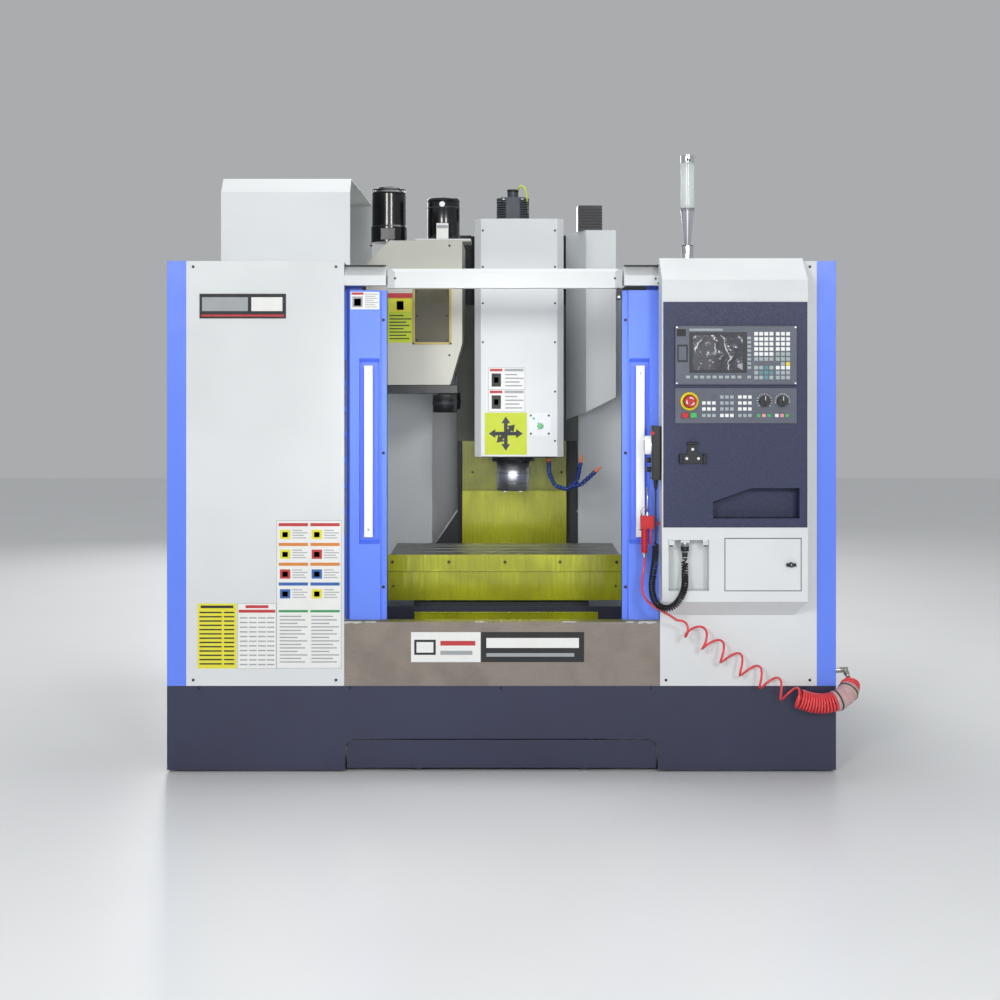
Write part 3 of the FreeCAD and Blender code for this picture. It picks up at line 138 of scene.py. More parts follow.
def bare_metal(name, colour, roughness, along, scratch=0.9, depth=0.012, edge=1.0):
    """Machined or brushed metal: hair-fine scratches that run one way, and soft smudges in the shine."""
    metal = Finish(name, Metallic=1.0)
    stretch = [1.0, 1.0, 1.0]
    stretch["xyz".index(along)] = 0.02
    run = metal.add("Mapping", {"Vector": metal.place, "Scale": stretch})
    lines = metal.add("TexNoise", {"Vector": run, "Scale": 1 / (scratch * MM), "Detail": 4.0, "Roughness": 0.7})
    smudge = metal.add("TexNoise", {"Vector": metal.place, "Scale": 1 / (110 * MM), "Detail": 3.0})
    smudge = metal.add("MapRange", {"Value": smudge, 1: 0.4, 2: 0.65, 4: 0.8})
    tone = metal.add("Mix", {0: smudge, 6: linear(colour), 7: linear(colour, 0.8)}, out=2, data_type="RGBA")
    shine = metal.add("MapRange", {"Value": lines, 1: 0.3, 2: 0.7, 3: roughness * 0.75, 4: roughness * 1.35})
    rim = metal.add("Bevel", {"Radius": edge * MM}, samples=3)
    relief = metal.add("Bump", {"Height": lines, "Distance": depth * MM, "Normal": rim})
    return metal.wear(Base_Color=tone, Roughness=shine, Normal=relief).material


def filmed_steel(name, colour, shade):
    """Stainless sheet still under its tinted shipping film: drawn streaks, creases and a wet-looking gloss."""
    film = Finish(name, Metallic=0.3, Coat_Weight=0.5, Coat_Roughness=0.08)
    run = film.add("Mapping", {"Vector": film.place, "Scale": (1.0, 1.0, 0.05)})
    streak = film.add("TexNoise", {"Vector": run, "Scale": 1 / (8 * MM), "Detail": 4.0, "Roughness": 0.6})
    band = film.add("MapRange", {"Value": streak, 1: 0.35, 2: 0.7, 4: 0.75})
    tone = film.add("Mix", {0: band, 6: linear(colour), 7: linear(shade)}, out=2, data_type="RGBA")
    patch = film.add("TexNoise", {"Vector": film.place, "Scale": 1 / (160 * MM), "Detail": 2.0})
    patch = film.add("MapRange", {"Value": patch, 1: 0.45, 2: 0.6, 4: 0.5})
    tone = film.add("Mix", {0: patch, 6: tone, 7: linear(shade)}, out=2, data_type="RGBA")
    gloss = film.add("MapRange", {"Value": streak, 1: 0.3, 2: 0.7, 3: 0.2, 4: 0.36})
    crease = film.add("TexNoise", {"Vector": film.place, "Scale": 1 / (50 * MM), "Detail": 3.0})
    rim = film.add("Bevel", {"Radius": 1.0 * MM}, samples=3)
    relief = film.add("Bump", {"Height": crease, "Distance": 0.5 * MM, "Normal": rim})
    return film.wear(Base_Color=tone, Roughness=gloss, Normal=relief).material


def painted_casting(name, colour, roughness=0.5):
    """Thick machine enamel over sand-cast iron: a 5 mm grain shows through, with rounded edges."""
    coat = Finish(name)
    grain = coat.add("TexNoise", {"Vector": coat.place, "Scale": 1 / (5 * MM), "Detail": 4.0})
    patch = coat.add("TexNoise", {"Vector": coat.place, "Scale": 1 / (200 * MM), "Detail": 3.0})
    patch = coat.add("MapRange", {"Value": patch, 1: 0.4, 2: 0.7, 4: 0.7})
    tone = coat.add("Mix", {0: patch, 6: linear(colour), 7: linear(colour, 1.5)}, out=2, data_type="RGBA")
    gloss = coat.add("MapRange", {"Value": grain, 1: 0.3, 2: 0.7, 3: roughness - 0.08, 4: roughness + 0.1})
    edge = coat.add("Bevel", {"Radius": 2.5 * MM}, samples=3)
    relief = coat.add("Bump", {"Height": grain, "Distance": 0.15 * MM, "Normal": edge})
    return coat.wear(Base_Color=tone, Roughness=gloss, Normal=relief).material


def moulded_plastic(name, colour, roughness=0.45, **extra):
    """Injection-moulded plastic: a spark-eroded grain half a millimetre across, and small soft edges."""
    shell = Finish(name, **extra)
    grain = shell.add("TexNoise", {"Vector": shell.place, "Scale": 1 / (0.6 * MM), "Detail": 2.0})
    patch = shell.add("TexNoise", {"Vector": shell.place, "Scale": 1 / (30 * MM), "Detail": 2.0})
    patch = shell.add("MapRange", {"Value": patch, 1: 0.4, 2: 0.7, 4: 0.6})
    tone = shell.add("Mix", {0: patch, 6: linear(colour), 7: linear(colour, 1.18)}, out=2, data_type="RGBA")
    gloss = shell.add("MapRange", {"Value": grain, 1: 0.3, 2: 0.7, 3: roughness - 0.05, 4: roughness + 0.05})
    edge = shell.add("Bevel", {"Radius": 0.6 * MM}, samples=3)
    relief = shell.add("Bump", {"Height": grain, "Distance": 0.015 * MM, "Normal": edge})
    return shell.wear(Base_Color=tone, Roughness=gloss, Normal=relief).material


def printed_vinyl(name, colour):
    """Calendered label vinyl or ink on it: nearly flat, with the faintest waviness where it is stuck down."""
    sheet = Finish(name)
    wave = sheet.add("TexNoise", {"Vector": sheet.place, "Scale": 1 / (40 * MM), "Detail": 2.0})
    tone = sheet.add("Mix", {0: wave, 6: linear(colour), 7: linear(colour, 0.92)}, out=2, data_type="RGBA")
    gloss = sheet.add("MapRange", {"Value": wave, 1: 0.3, 2: 0.7, 3: 0.5, 4: 0.62})
    relief = sheet.add("Bump", {"Height": wave, "Distance": 0.1 * MM})
    return sheet.wear(Base_Color=tone, Roughness=gloss, Normal=relief).material


def clear_sheet(name, colour, alpha, roughness=0.06):
    """Cast acrylic or polycarbonate sheet: see-through, glossy and faintly wavy."""
    sheet = Finish(name, Base_Color=linear(colour), Alpha=alpha, IOR=1.49)
    wave = sheet.add("TexNoise", {"Vector": sheet.place, "Scale": 1 / (80 * MM), "Detail": 2.0})
    gloss = sheet.add("MapRange", {"Value": wave, 1: 0.3, 2: 0.7, 3: roughness, 4: roughness + 0.06})
    relief = sheet.add("Bump", {"Height": wave, "Distance": 0.4 * MM})
    return sheet.wear(Roughness=gloss, Normal=relief).material


def filmed_glass(name):
    """Display glass under a loose clear film, whose long creases are painted as pale highlights."""
    glass = Finish(name, Roughness=0.14, Coat_Weight=1.0, Coat_Roughness=0.03)
    crease = glass.add("TexWave", {"Vector": glass.place, "Scale": 6.0, "Distortion": 9.0, "Detail": 4.0,
                                   "Detail Scale": 2.5})
    glint = glass.add("MapRange", {"Value": crease, 1: 0.93, 2: 0.99})
    patch = glass.add("TexNoise", {"Vector": glass.place, "Scale": 1 / (60 * MM), "Detail": 3.0})
    patch = glass.add("MapRange", {"Value": patch, 1: 0.45, 2: 0.6})
    glint = glass.add("Math", {0: glint, 1: patch}, operation="MULTIPLY")
    # painted highlight: the creases' glints are mixed into the base colour as pale streaks
    tone = glass.add("Mix", {0: glint, 6: linear("#3e3c46"), 7: linear("#d6d8e4")}, out=2, data_type="RGBA")
    relief = glass.add("Bump", {"Height": crease, "Distance": 0.6 * MM})
    return glass.wear(Base_Color=tone, Normal=relief).material


def hose_plastic(name, colour):
    """Extruded polyurethane hose: glossy, softly lit through, and slightly uneven."""
    hose = Finish(name, Subsurface_Weight=0.15, Subsurface_Radius=(0.004, 0.001, 0.001), Roughness=0.24)
    patch = hose.add("TexNoise", {"Vector": hose.place, "Scale": 1 / (18 * MM), "Detail": 2.0})
    patch = hose.add("MapRange", {"Value": patch, 1: 0.35, 2: 0.7, 4: 0.7})
    tone = hose.add("Mix", {0: patch, 6: linear(colour), 7: linear(colour, 1.25)}, out=2, data_type="RGBA")
    skin = hose.add("TexNoise", {"Vector": hose.place, "Scale": 1 / (3 * MM)})
    return hose.wear(Base_Color=tone, Normal=hose.add("Bump", {"Height": skin, "Distance": 0.05 * MM})).material


def stretch_wrap(name):
    """Polyethylene stretch wrap pulled round in layers: milky, with tight creases."""
    wrap = Finish(name, Alpha=0.5)
    run = wrap.add("Mapping", {"Vector": wrap.place, "Scale": (1.0, 1.0, 0.3)})
    pull = wrap.add("TexNoise", {"Vector": run, "Scale": 1 / (9 * MM), "Detail": 5.0, "Roughness": 0.7})
    shade = wrap.add("MapRange", {"Value": pull, 1: 0.35, 2: 0.65})
    tone = wrap.add("Mix", {0: shade, 6: linear("#f4f4f2"), 7: linear("#cdd2cd")}, out=2, data_type="RGBA")
    gloss = wrap.add("MapRange", {"Value": pull, 1: 0.3, 2: 0.7, 3: 0.12, 4: 0.4})
    relief = wrap.add("Bump", {"Height": pull, "Distance": 1.2 * MM})
    return wrap.wear(Base_Color=tone, Roughness=gloss, Normal=relief).material


FINISHES = {
    "white": sprayed_paint("White_powder_coat", "#e2e5e6", 0.5),
    "liner": sprayed_paint("Pale_grey_powder_coat", "#e8eced", 0.42),
    "blue": sprayed_paint("Blue_gloss_enamel", "#6489fb", 0.38, clear=0.12, clouding=0.985),
    "base": sprayed_paint("Slate_texture_enamel", "#2f334e", 0.4, peel=2.4, clouding=0.88),
    "guard": sprayed_paint("Dark_guard_enamel", "#2c2f42", 0.42, clouding=0.85),
    "beige": sprayed_paint("Beige_powder_coat", "#cac9bc", 0.42),
    "panel": hammer_paint("Slate_hammer_enamel", "#2e3350"),
    "casting": painted_casting("Dark_enamelled_iron", "#2a2c31"),
    # painted shade: a grey-green darkened to the tone of a pale panel seen in shadow beside the head
    "column": painted_casting("Grey_green_iron_painted_shade", "#5b5f58"),
    "motor": painted_casting("Grey_enamelled_iron", "#3b4149", 0.42),
    "iron": bare_metal("Ground_cast_iron", "#93938f", 0.4, "x"),
    "stainless": bare_metal("Brushed_stainless_steel", "#91887f", 0.26, "x"),
    "steel": bare_metal("Turned_bright_steel", "#d9dbdf", 0.26, "z", depth=0.004),
    "spindle_steel": bare_metal("Ground_spindle_steel", "#eceef2", 0.36, "x", depth=0.02),
    "chrome": bare_metal("Polished_chrome", "#e6e8ec", 0.07, "z", depth=0.001, edge=0.5),
    "brass": bare_metal("Turned_nickel_brass", "#c9c6bd", 0.2, "z", depth=0.003, edge=0.4),
    "film": filmed_steel("Yellow_filmed_steel", "#c4c91f", "#92950f"),
    # painted shade: a darker olive copy of the yellow film, for filmed steel that lies in shade
    "film_painted_shade": filmed_steel("Yellow_filmed_steel_painted_shade", "#8e9210", "#5e610c"),
    "grey": moulded_plastic("Grey_moulded_ABS", "#565c6a", 0.42),
    "key_grey": moulded_plastic("Grey_silicone_key", "#a7b1b3", 0.5),
    "key_white": moulded_plastic("White_silicone_key", "#f0f1ee", 0.5),
    "key_teal": moulded_plastic("Teal_silicone_key", "#5c8e96", 0.5),
    "key_pink": moulded_plastic("Pink_silicone_key", "#f09aa5", 0.5),
    "black": moulded_plastic("Black_moulded_nylon", "#17181b", 0.4),
    "gloss_black": moulded_plastic("Black_stoved_enamel", "#0b0b0e", 0.24, Coat_Weight=0.3),
    "white_plastic": moulded_plastic("White_moulded_ABS", "#f5f6f6", 0.38),
    "red": moulded_plastic("Red_moulded_ABS", "#c01c24", 0.28),
    "green": moulded_plastic("Green_moulded_ABS", "#3fb25c", 0.35),
    "yellow": moulded_plastic("Yellow_moulded_ABS", "#ead11a", 0.38),
    "gasket": moulded_plastic("Yellowed_clear_gasket", "#b7a257", 0.26),
    "orange": moulded_plastic("Orange_moulded_acetal", "#ef7d4c", 0.32),
    "pipe_blue": moulded_plastic("Blue_moulded_acetal", "#173a86", 0.28),
    "pane": clear_sheet("Smoked_acrylic_sheet", "#6b6755", 0.75),
    "door_pane": clear_sheet("Clear_polycarbonate_sheet", "#9fb0b8", 0.45),
    "lens": clear_sheet("Clear_ribbed_acrylic", "#f4f8f8", 0.34, 0.04),
    "screen": filmed_glass("Filmed_display_glass"),
    "hose": hose_plastic("Red_polyurethane_hose", "#e4494c"),
    "cable": moulded_plastic("Black_PVC_jacket", "#141416", 0.34),
    "wrap": stretch_wrap("Milky_stretch_wrap"),
    "vinyl_white": printed_vinyl("White_label_vinyl", "#f3f3f0"),
    "vinyl_yellow": printed_vinyl("Yellow_label_vinyl", "#ece53a"),
    "vinyl_lime": printed_vinyl("Lime_label_vinyl", "#cddc2c"),
    "ink_red": printed_vinyl("Red_label_ink", "#c8383a"),
    "ink_orange": printed_vinyl("Orange_label_ink", "#e08a3a"),
    "ink_green": printed_vinyl("Green_label_ink", "#3f9f63"),
    "ink_blue": printed_vinyl("Blue_label_ink", "#3868b4"),
    "ink_grey": printed_vinyl("Grey_label_ink", "#a5aaad"),
    "ink_black": printed_vinyl("Black_label_ink", "#232326"),
}

NODE_FINISHES = {
    "white": ["head_cover", "column_side_cover", "front_panels", "side_panels", "rear_panel", "roof_hood",
              "electrical_cabinet", "header_beam", "console_box", "store_door"],
    "liner": ["inner_liners"],
    "blue": ["corner_posts", "left_door", "right_door"],
    "base": ["base_skirt", "coolant_tank"],
    "guard": ["chip_guard"],
    "panel": ["operator_panel"],
    "beige": ["magazine_cover"],
    "casting": ["bed_casting", "column_casting", "saddle", "atc_cam_box"],
    "iron": ["levelling_feet", "table", "door_track"],
    "stainless": ["front_sill"],
    # the head casting wears the painted-shade grey-green
    "column": ["head_casting"],
    "steel": ["spindle_shaft", "atc_quill"],
    "film": ["shield_plates", "table_guard"],
    "motor": ["spindle_motor"],
    "gloss_black": ["drive_motors", "oil_canister"],
    "black": ["atc_arm", "feed_dial", "speed_dial", "store_lock", "pendant_body", "axis_selector", "rate_selector"],
    "grey": ["display_unit", "control_unit", "tool_drum"],
    "white_plastic": ["left_door_handle", "right_door_handle", "pendant_wheel"],
    "red": ["stop_button", "red_key", "air_gun", "gun_trigger"],
    "green": ["green_key"],
    "chrome": ["tower_metal"],
    "lens": ["tower_lens"],
}


def dress_nodes():
    """Give every CAD solid that stays in view its finish."""
    for finish, names in NODE_FINISHES.items():
        for name in names:
            if not NODES[name].material_slots:
                NODES[name].data.materials.append(FINISHES[finish])
            for holder in NODES[name].material_slots:
                holder.material = FINISHES[finish]


# ------------------------------------------------------------------ workshop

class Piece:
    """A mesh put together from shaped parts, each with its finish, that rides on one body."""

    def __init__(self, name, body="enclosure"):
        self.name, self.body = name, body
        self.mesh = bmesh.new()
        self.finishes = []

    def finish_faces(self, faces, finish, smooth=False):
        if finish not in self.finishes:
            self.finishes.append(finish)
        for face in faces:
            face.material_index = self.finishes.index(finish)
            face.smooth = smooth and len(face.verts) <= 4

    def slab(self, low, high, finish, bevel=0.0):
        """A box between two corners; a bevel in millimetres rounds its edges."""
        before = set(self.mesh.faces)
        low, high = Vector(low), Vector(high)
        size = Vector([abs(value) for value in high - low])
        spot = Matrix.Translation((low + high) / 2) @ Matrix.Diagonal((*size, 1))
        made = bmesh.ops.create_cube(self.mesh, size=1.0, matrix=spot)
        if bevel:
            edges = list({edge for vertex in made["verts"] for edge in vertex.link_edges})
            bmesh.ops.bevel(self.mesh, geom=edges, offset=min(bevel * MM, min(size) * 0.45), segments=2,
                            affect="EDGES", profile=0.5)
        self.finish_faces([face for face in self.mesh.faces if face not in before], finish)
        return self

    def rod(self, start, end, radius, finish, end_radius=None, bevel=0.0, sides=28):
        """A cylinder or cone between two points, sizes in millimetres, its rims rounded by a bevel."""
        before = set(self.mesh.faces)
        start, end = Vector(start), Vector(end)
        spot = Matrix.Translation((start + end) / 2) @ (end - start).to_track_quat("Z", "Y").to_matrix().to_4x4()
        made = bmesh.ops.create_cone(
            self.mesh, cap_ends=True, segments=sides, radius1=radius * MM, depth=(end - start).length,
            radius2=(radius if end_radius is None else end_radius) * MM, matrix=spot)
        if bevel:
            rims = [edge for edge in {e for v in made["verts"] for e in v.link_edges}
                    if any(len(face.verts) > 4 for face in edge.link_faces)]
            bmesh.ops.bevel(self.mesh, geom=rims, offset=bevel * MM, segments=2, affect="EDGES", profile=0.5)
        self.finish_faces([face for face in self.mesh.faces if face not in before], finish, sides > 8)
        return self

    def sweep(self, loops, finish, closed=False):
        """Skin rings of vertices in order; an open run is capped at both ends."""
        faces = []
        pairs = list(zip(loops, loops[1:] + loops[:1])) if closed else list(zip(loops, loops[1:]))
        for first, second in pairs:
            for index in range(len(first)):
                other = (index + 1) % len(first)
                faces.append(self.mesh.faces.new((first[index], first[other], second[other], second[index])))
        if not closed:
            faces += [self.mesh.faces.new(loops[0][::-1]), self.mesh.faces.new(loops[-1])]
        self.finish_faces(faces, finish, True)
        return self

    def collar(self, start, end, radius, inner, finish, sides=36):
        """A flat ring or short sleeve between two points, radii in millimetres."""
        start, end = Vector(start), Vector(end)
        turn = (end - start).to_track_quat("Z", "Y").to_matrix()
        loops = []
        for point, size in ((start, inner), (start, radius), (end, radius), (end, inner)):
            circle = [turn @ Vector((math.cos(2 * math.pi * i / sides), math.sin(2 * math.pi * i / sides), 0))
                      for i in range(sides)]
            loops.append([self.mesh.verts.new(point + spot * size * MM) for spot in circle])
        return self.sweep(loops, finish, closed=True)

    def tube(self, points, radius, finish, sides=10):
        """A round tube through points in metres; radius is in millimetres, one or one per point."""
        points = [Vector(point) for point in points]
        sizes = list(radius) if hasattr(radius, "__len__") else [radius] * len(points)
        loops, side = [], None
        for index, point in enumerate(points):
            ahead = (points[min(index + 1, len(points) - 1)] - points[max(index - 1, 0)]).normalized()
            side = ahead.orthogonal() if side is None else side - ahead * side.dot(ahead)
            side.normalize()
            up = ahead.cross(side)
            loops.append([self.mesh.verts.new(point + sizes[index] * MM * (
                side * math.cos(2 * math.pi * i / sides) + up * math.sin(2 * math.pi * i / sides)))
                for i in range(sides)])
        return self.sweep(loops, finish)

    def plate(self, corners, push, finish):
        """A flat plate: its corners in order, pushed along a vector in millimetres."""
        push = Vector(push) * MM
        base = [self.mesh.verts.new(Vector(corner)) for corner in corners]
        top = [self.mesh.verts.new(Vector(corner) + push) for corner in corners]
        faces = [self.mesh.faces.new(base[::-1]), self.mesh.faces.new(top)]
        for index in range(len(base)):
            other = (index + 1) % len(base)
            faces.append(self.mesh.faces.new((base[index], base[other], top[other], top[index])))
        self.finish_faces(faces, finish)
        return self

    def screw(self, centre, radius=6.0, finish="black", out=(0, -1, 0)):
        """A cap screw head with a hexagon socket, seated on a face."""
        centre, out = Vector(centre), Vector(out)
        self.rod(centre, centre + out * radius * 0.55 * MM, radius, finish, radius * 0.85, sides=18)
        top = centre + out * radius * 0.55 * MM
        self.rod(top, top + out * 0.15 * MM, radius * 0.45, "black", sides=6)
        return self

    def placard(self, low, high, paper, fields=(), proud=0.6):
        """A stuck-on sheet facing front, with fields of colour given as (x0, x1, z0, z1, finish) in parts of it."""
        low, high = Vector(low), Vector(high)
        self.slab(low, (high.x, low.y - proud * MM, high.z), paper)
        wide, tall = high.x - low.x, high.z - low.z
        for x0, x1, z0, z1, ink in fields:
            self.slab((low.x + wide * x0, low.y - proud * 0.5 * MM, low.z + tall * z0),
                      (low.x + wide * x1, low.y - (proud + 0.3) * MM, low.z + tall * z1), ink)
        return self

    def made(self, slot=None):
        """Turn the parts into one object that rides on its body."""
        data = bpy.data.meshes.new(self.name)
        bmesh.ops.recalc_face_normals(self.mesh, faces=self.mesh.faces)
        self.mesh.to_mesh(data)
        self.mesh.free()
        for finish in self.finishes:
            data.materials.append(FINISHES[finish])
        item = bpy.data.objects.new(self.name, data)
        bpy.context.scene.collection.objects.link(item)
        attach(item, self.body)
        return item


def print_lines(x0, x1, z0, z1, count, ink="ink_grey"):
    """Bars that stand for lines of small print, ragged at the right."""
    step = (z1 - z0) / count
    return [(x0, x1 - (x1 - x0) * (0.08, 0.22, 0.0, 0.35)[line % 4], z0 + step * (line + 0.3),
             z0 + step * (line + 0.65), ink) for line in range(count)]


# ------------------------------------------------------------------ studio

def build_studio():
    """The camera square to the front, a pale floor and soft lights."""
    lens = bpy.data.cameras.new("front_camera")
    lens.sensor_width = 36.0
    lens.lens = lens.sensor_width * LENS_DISTANCE / FRAME_HEIGHT
    lens.shift_x = -0.0015
    lens.shift_y = -0.13
    camera = bpy.data.objects.new("front_camera", lens)
    camera.location = (0.0, FRONT - LENS_DISTANCE, EYE_HEIGHT)
    camera.rotation_euler = (math.radians(90), 0, 0)
    bpy.context.scene.collection.objects.link(camera)
    bpy.context.scene.camera = camera

    floor = Finish("Pale_studio_floor", Roughness=0.32)
    wave = floor.add("TexNoise", {"Vector": floor.place, "Scale": 1.5})
    tone = floor.add("Mix", {0: wave, 6: linear("#eceded"), 7: linear("#f2f3f3")}, out=2, data_type="RGBA")
    floor.wear(Base_Color=tone)
    mesh = bpy.data.meshes.new("studio_floor")
    mesh.from_pydata([(-14, -14, 0), (14, -14, 0), (14, 14, 0), (-14, 14, 0)], [], [(0, 1, 2, 3)])
    mesh.materials.append(floor.material)
    ground = bpy.data.objects.new("studio_floor", mesh)
    bpy.context.scene.collection.objects.link(ground)

    for name, spot, aim, size, spread, power, colour in (
            ("left_key_light", (-1.6, -6.4, 2.5), (0, -0.4, 1.1), 0.8, 180, 80, (1.0, 0.99, 0.97)),
            ("right_key_light", (1.8, -6.4, 2.5), (0, -0.4, 1.1), 0.8, 180, 74, (0.98, 0.99, 1.0)),
            ("fill_light", (0.0, -6.2, 0.9), (0, -0.4, 1.0), 2.8, 180, 18, (0.95, 0.97, 1.0)),
            ("inside_light", (0.0, -2.2, 1.3), (0, 0.8, 1.12), 0.4, 58, 1.35, (1.0, 1.0, 0.98)),
            ("top_light", (0.2, 0.4, 4.6), (0, 0.2, 1.0), 3.0, 180, 95, (1.0, 1.0, 1.0)),
            ("back_light", (-1.0, 5.6, 3.2), (0, 0.5, 1.0), 3.0, 180, 120, (1.0, 1.0, 1.0))):
        lamp = bpy.data.lights.new(name, "AREA")
        lamp.size, lamp.spread, lamp.energy, lamp.color = size, math.radians(spread), power, colour
        item = bpy.data.objects.new(name, lamp)
        item.location = spot
        item.rotation_euler = (Vector(aim) - Vector(spot)).to_track_quat("-Z", "Y").to_euler()
        bpy.context.scene.collection.objects.link(item)

    world = bpy.data.worlds.new("studio_world")
    world.use_nodes = True
    world.node_tree.nodes["Background"].inputs[0].default_value = linear("#eef1f4")
    world.node_tree.nodes["Background"].inputs[1].default_value = 0.47
    bpy.context.scene.world = world
    bpy.context.scene.view_settings.view_transform = "Standard"


# ------------------------------------------------------------------ hose and cable

# Routes as X, depth behind the front sheets and height, in millimetres.
HOSE_LEAD = [(487, -50, 761), (487, -50, 712), (476, -66, 664), (478, -92, 618), (510, -118, 586),
             (552.5, -121, 567), (590, -100, 540)]
HOSE_COIL = [(590, -100, 540), (640, -72, 504), (698, -52, 460), (762, -45, 413), (826, -45, 370),
             (890, -46, 329), (954, -48, 292), (1014, -50, 262), (1070, -50, 246), (1128, -47, 248),
             (1180, -28, 270), (1206, 14, 300), (1203, 66, 322)]
CABLE_LEAD = [(523, -70, 1012), (523, -70, 950), (522, -84, 806)]
CABLE_COIL = [(522, -84, 806), (521.6, -89.25, 752), (512, -104, 700), (504, -124, 650), (512, -142, 606),
              (540, -152, 584), (574, -152, 590), (600, -146, 618), (614, -132, 648), (619, -110, 674),
              (620, -90, 706), (620, -90, 748)]
HOSE_SIZE = 8.0
HOSE_COIL_RADIUS = 31.0                  # to the middle of the tube
HOSE_OPEN_PITCH, HOSE_CLOSED_PITCH = 79.0, 9.4
HOSE_OPEN_SHARE = 0.6                    # the part of the coil that hangs stretched
CABLE_SIZE = 6.0
CABLE_COIL_RADIUS, CABLE_PITCH = 9.6, 7.4


def spline(name, route, bevel=0.0):
    """A smooth curve object through a route."""
    curve = bpy.data.curves.new(name, "CURVE")
    curve.dimensions = "3D"
    curve.resolution_u = 24
    line = curve.splines.new("NURBS")
    line.points.add(len(route) - 1)
    for point, place in zip(line.points, route):
        point.co = (*at(*place), 1.0)
    line.order_u = 3
    line.use_endpoint_u = True
    curve.bevel_depth = bevel
    curve.bevel_resolution = 4
    curve.use_fill_caps = True
    item = bpy.data.objects.new(name, curve)
    return item


def path_points(route):
    """Points read along a route's smooth curve."""
    item = spline("route_guide", route)
    mesh = bpy.data.meshes.new_from_object(item)
    points = [vertex.co.copy() for vertex in mesh.vertices]
    bpy.data.meshes.remove(mesh)
    bpy.data.objects.remove(item)
    return points


def even_points(points, count):
    """The same line as a number of evenly spaced points."""
    lengths = [0.0]
    for first, second in zip(points, points[1:]):
        lengths.append(lengths[-1] + (second - first).length)
    result, index = [], 0
    for step in range(count):
        goal = lengths[-1] * step / (count - 1)
        while index < len(points) - 2 and lengths[index + 1] < goal:
            index += 1
        part = (goal - lengths[index]) / max(1e-9, lengths[index + 1] - lengths[index])
        result.append(points[index].lerp(points[index + 1], min(1.0, part)))
    return result


def line_length(points):
    return sum((second - first).length for first, second in zip(points, points[1:]))


def frames_along(points):
    """Each point with two directions square to the line, carried along without twist."""
    side, result = None, []
    for index, point in enumerate(points):
        ahead = (points[min(index + 1, len(points) - 1)] - points[max(index - 1, 0)]).normalized()
        side = ahead.orthogonal() if side is None else side - ahead * side.dot(ahead)
        side.normalize()
        result.append((point, side, ahead.cross(side)))
    return result


def curly(points, radius, pitch_at, fade, steps):
    """A helix round a line: pitch_at gives the turn spacing in millimetres for a share of the line's length."""
    fine = frames_along(even_points(points, 900))
    total = line_length(points)
    gone, angle, result = 0.0, 0.0, []
    while gone < total:
        share = gone / total
        point, side, up = fine[min(len(fine) - 1, round(share * (len(fine) - 1)))]
        opening = min(1.0, gone / (fade * MM), (total - gone) / (fade * MM))
        size = radius * MM * opening * opening * (3 - 2 * opening)
        result.append(point + (side * math.cos(angle) + up * math.sin(angle)) * size)
        angle += 2 * math.pi / steps
        gone += (pitch_at(share) if opening == 1.0 else max(pitch_at(share), fade * 1.8)) * MM / steps
    if (result[-1] - points[-1]).length < 2 * MM:
        result.pop()
    result.append(points[-1])
    return result


def build_air_hose():
    """The gun's red hose: a plain lead, a stretched spiral, then the unspent turns wrapped in film."""
    def pitch(share):
        return max(HOSE_CLOSED_PITCH, HOSE_OPEN_PITCH - max(0.0, share - HOSE_OPEN_SHARE) * 1400)
    turns = curly(path_points(HOSE_COIL), HOSE_COIL_RADIUS, pitch, 60.0, 20)
    line = even_points(path_points(HOSE_LEAD), 60) + turns[1:]
    hose = Piece("air_hose").tube(line, HOSE_SIZE / 2, "hose", 10).made("red_hose")

    elbow = Piece("air_hose_elbow")
    mouth, ahead = at(*HOSE_COIL[-1]), (at(*HOSE_COIL[-1]) - at(*HOSE_COIL[-2])).normalized()
    elbow.rod(mouth - ahead * 16 * MM, mouth + ahead * 6 * MM, 7.5, "brass", bevel=1.0)
    elbow.rod(mouth + ahead * 5 * MM, mouth + ahead * 14 * MM, 10.5, "brass", sides=6)
    elbow.rod(mouth + ahead * 13 * MM, mouth + ahead * 31 * MM, 8.5, "brass", bevel=0.6)
    elbow.rod(at(1150.5, 95, 334), at(1211, 95, 334), 10.5, "brass", bevel=1.5)
    elbow.rod(at(1157, 95, 334), at(1168, 95, 334), 16.5, "brass", sides=6)
    elbow.rod(at(1150.5, 95, 334), at(1156, 95, 334), 17, "steel", bevel=0.8)
    elbow = elbow.made("bright_steel")

    wrapped = [point for point in even_points(path_points(HOSE_COIL), 120)][95:108]
    wrap = Piece("hose_wrap")
    sizes = [35.6 + 1.2 * math.sin(index * 2.1) for index in range(len(wrapped))]
    wrap.tube(wrapped, sizes, "wrap", 28)
    wrap = wrap.made()
    for index in (2, 10):
        spot, ahead = wrapped[index], (wrapped[index + 1] - wrapped[index - 1]).normalized()
        tie = Piece(f"hose_tie_{index}")
        tie.collar(spot - ahead * 2 * MM, spot + ahead * 2 * MM, 37.6, 35.8, "black")
        tie.made()
    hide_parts("air_hose_lead")
    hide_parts("air_hose_coil")

    ferrule = Piece("gun_ferrule")
    base = at(487, -50, 761)
    ferrule.rod(base + Vector((0, 0, -0.016)), base + Vector((0, 0, 0.001)), 7.5, "steel", 9.0, 0.5)
    ferrule.rod(base + Vector((0, 0, -0.004)), base + Vector((0, 0, 0.003)), 10.2, "steel", sides=6)
    ferrule.made("bright_steel")


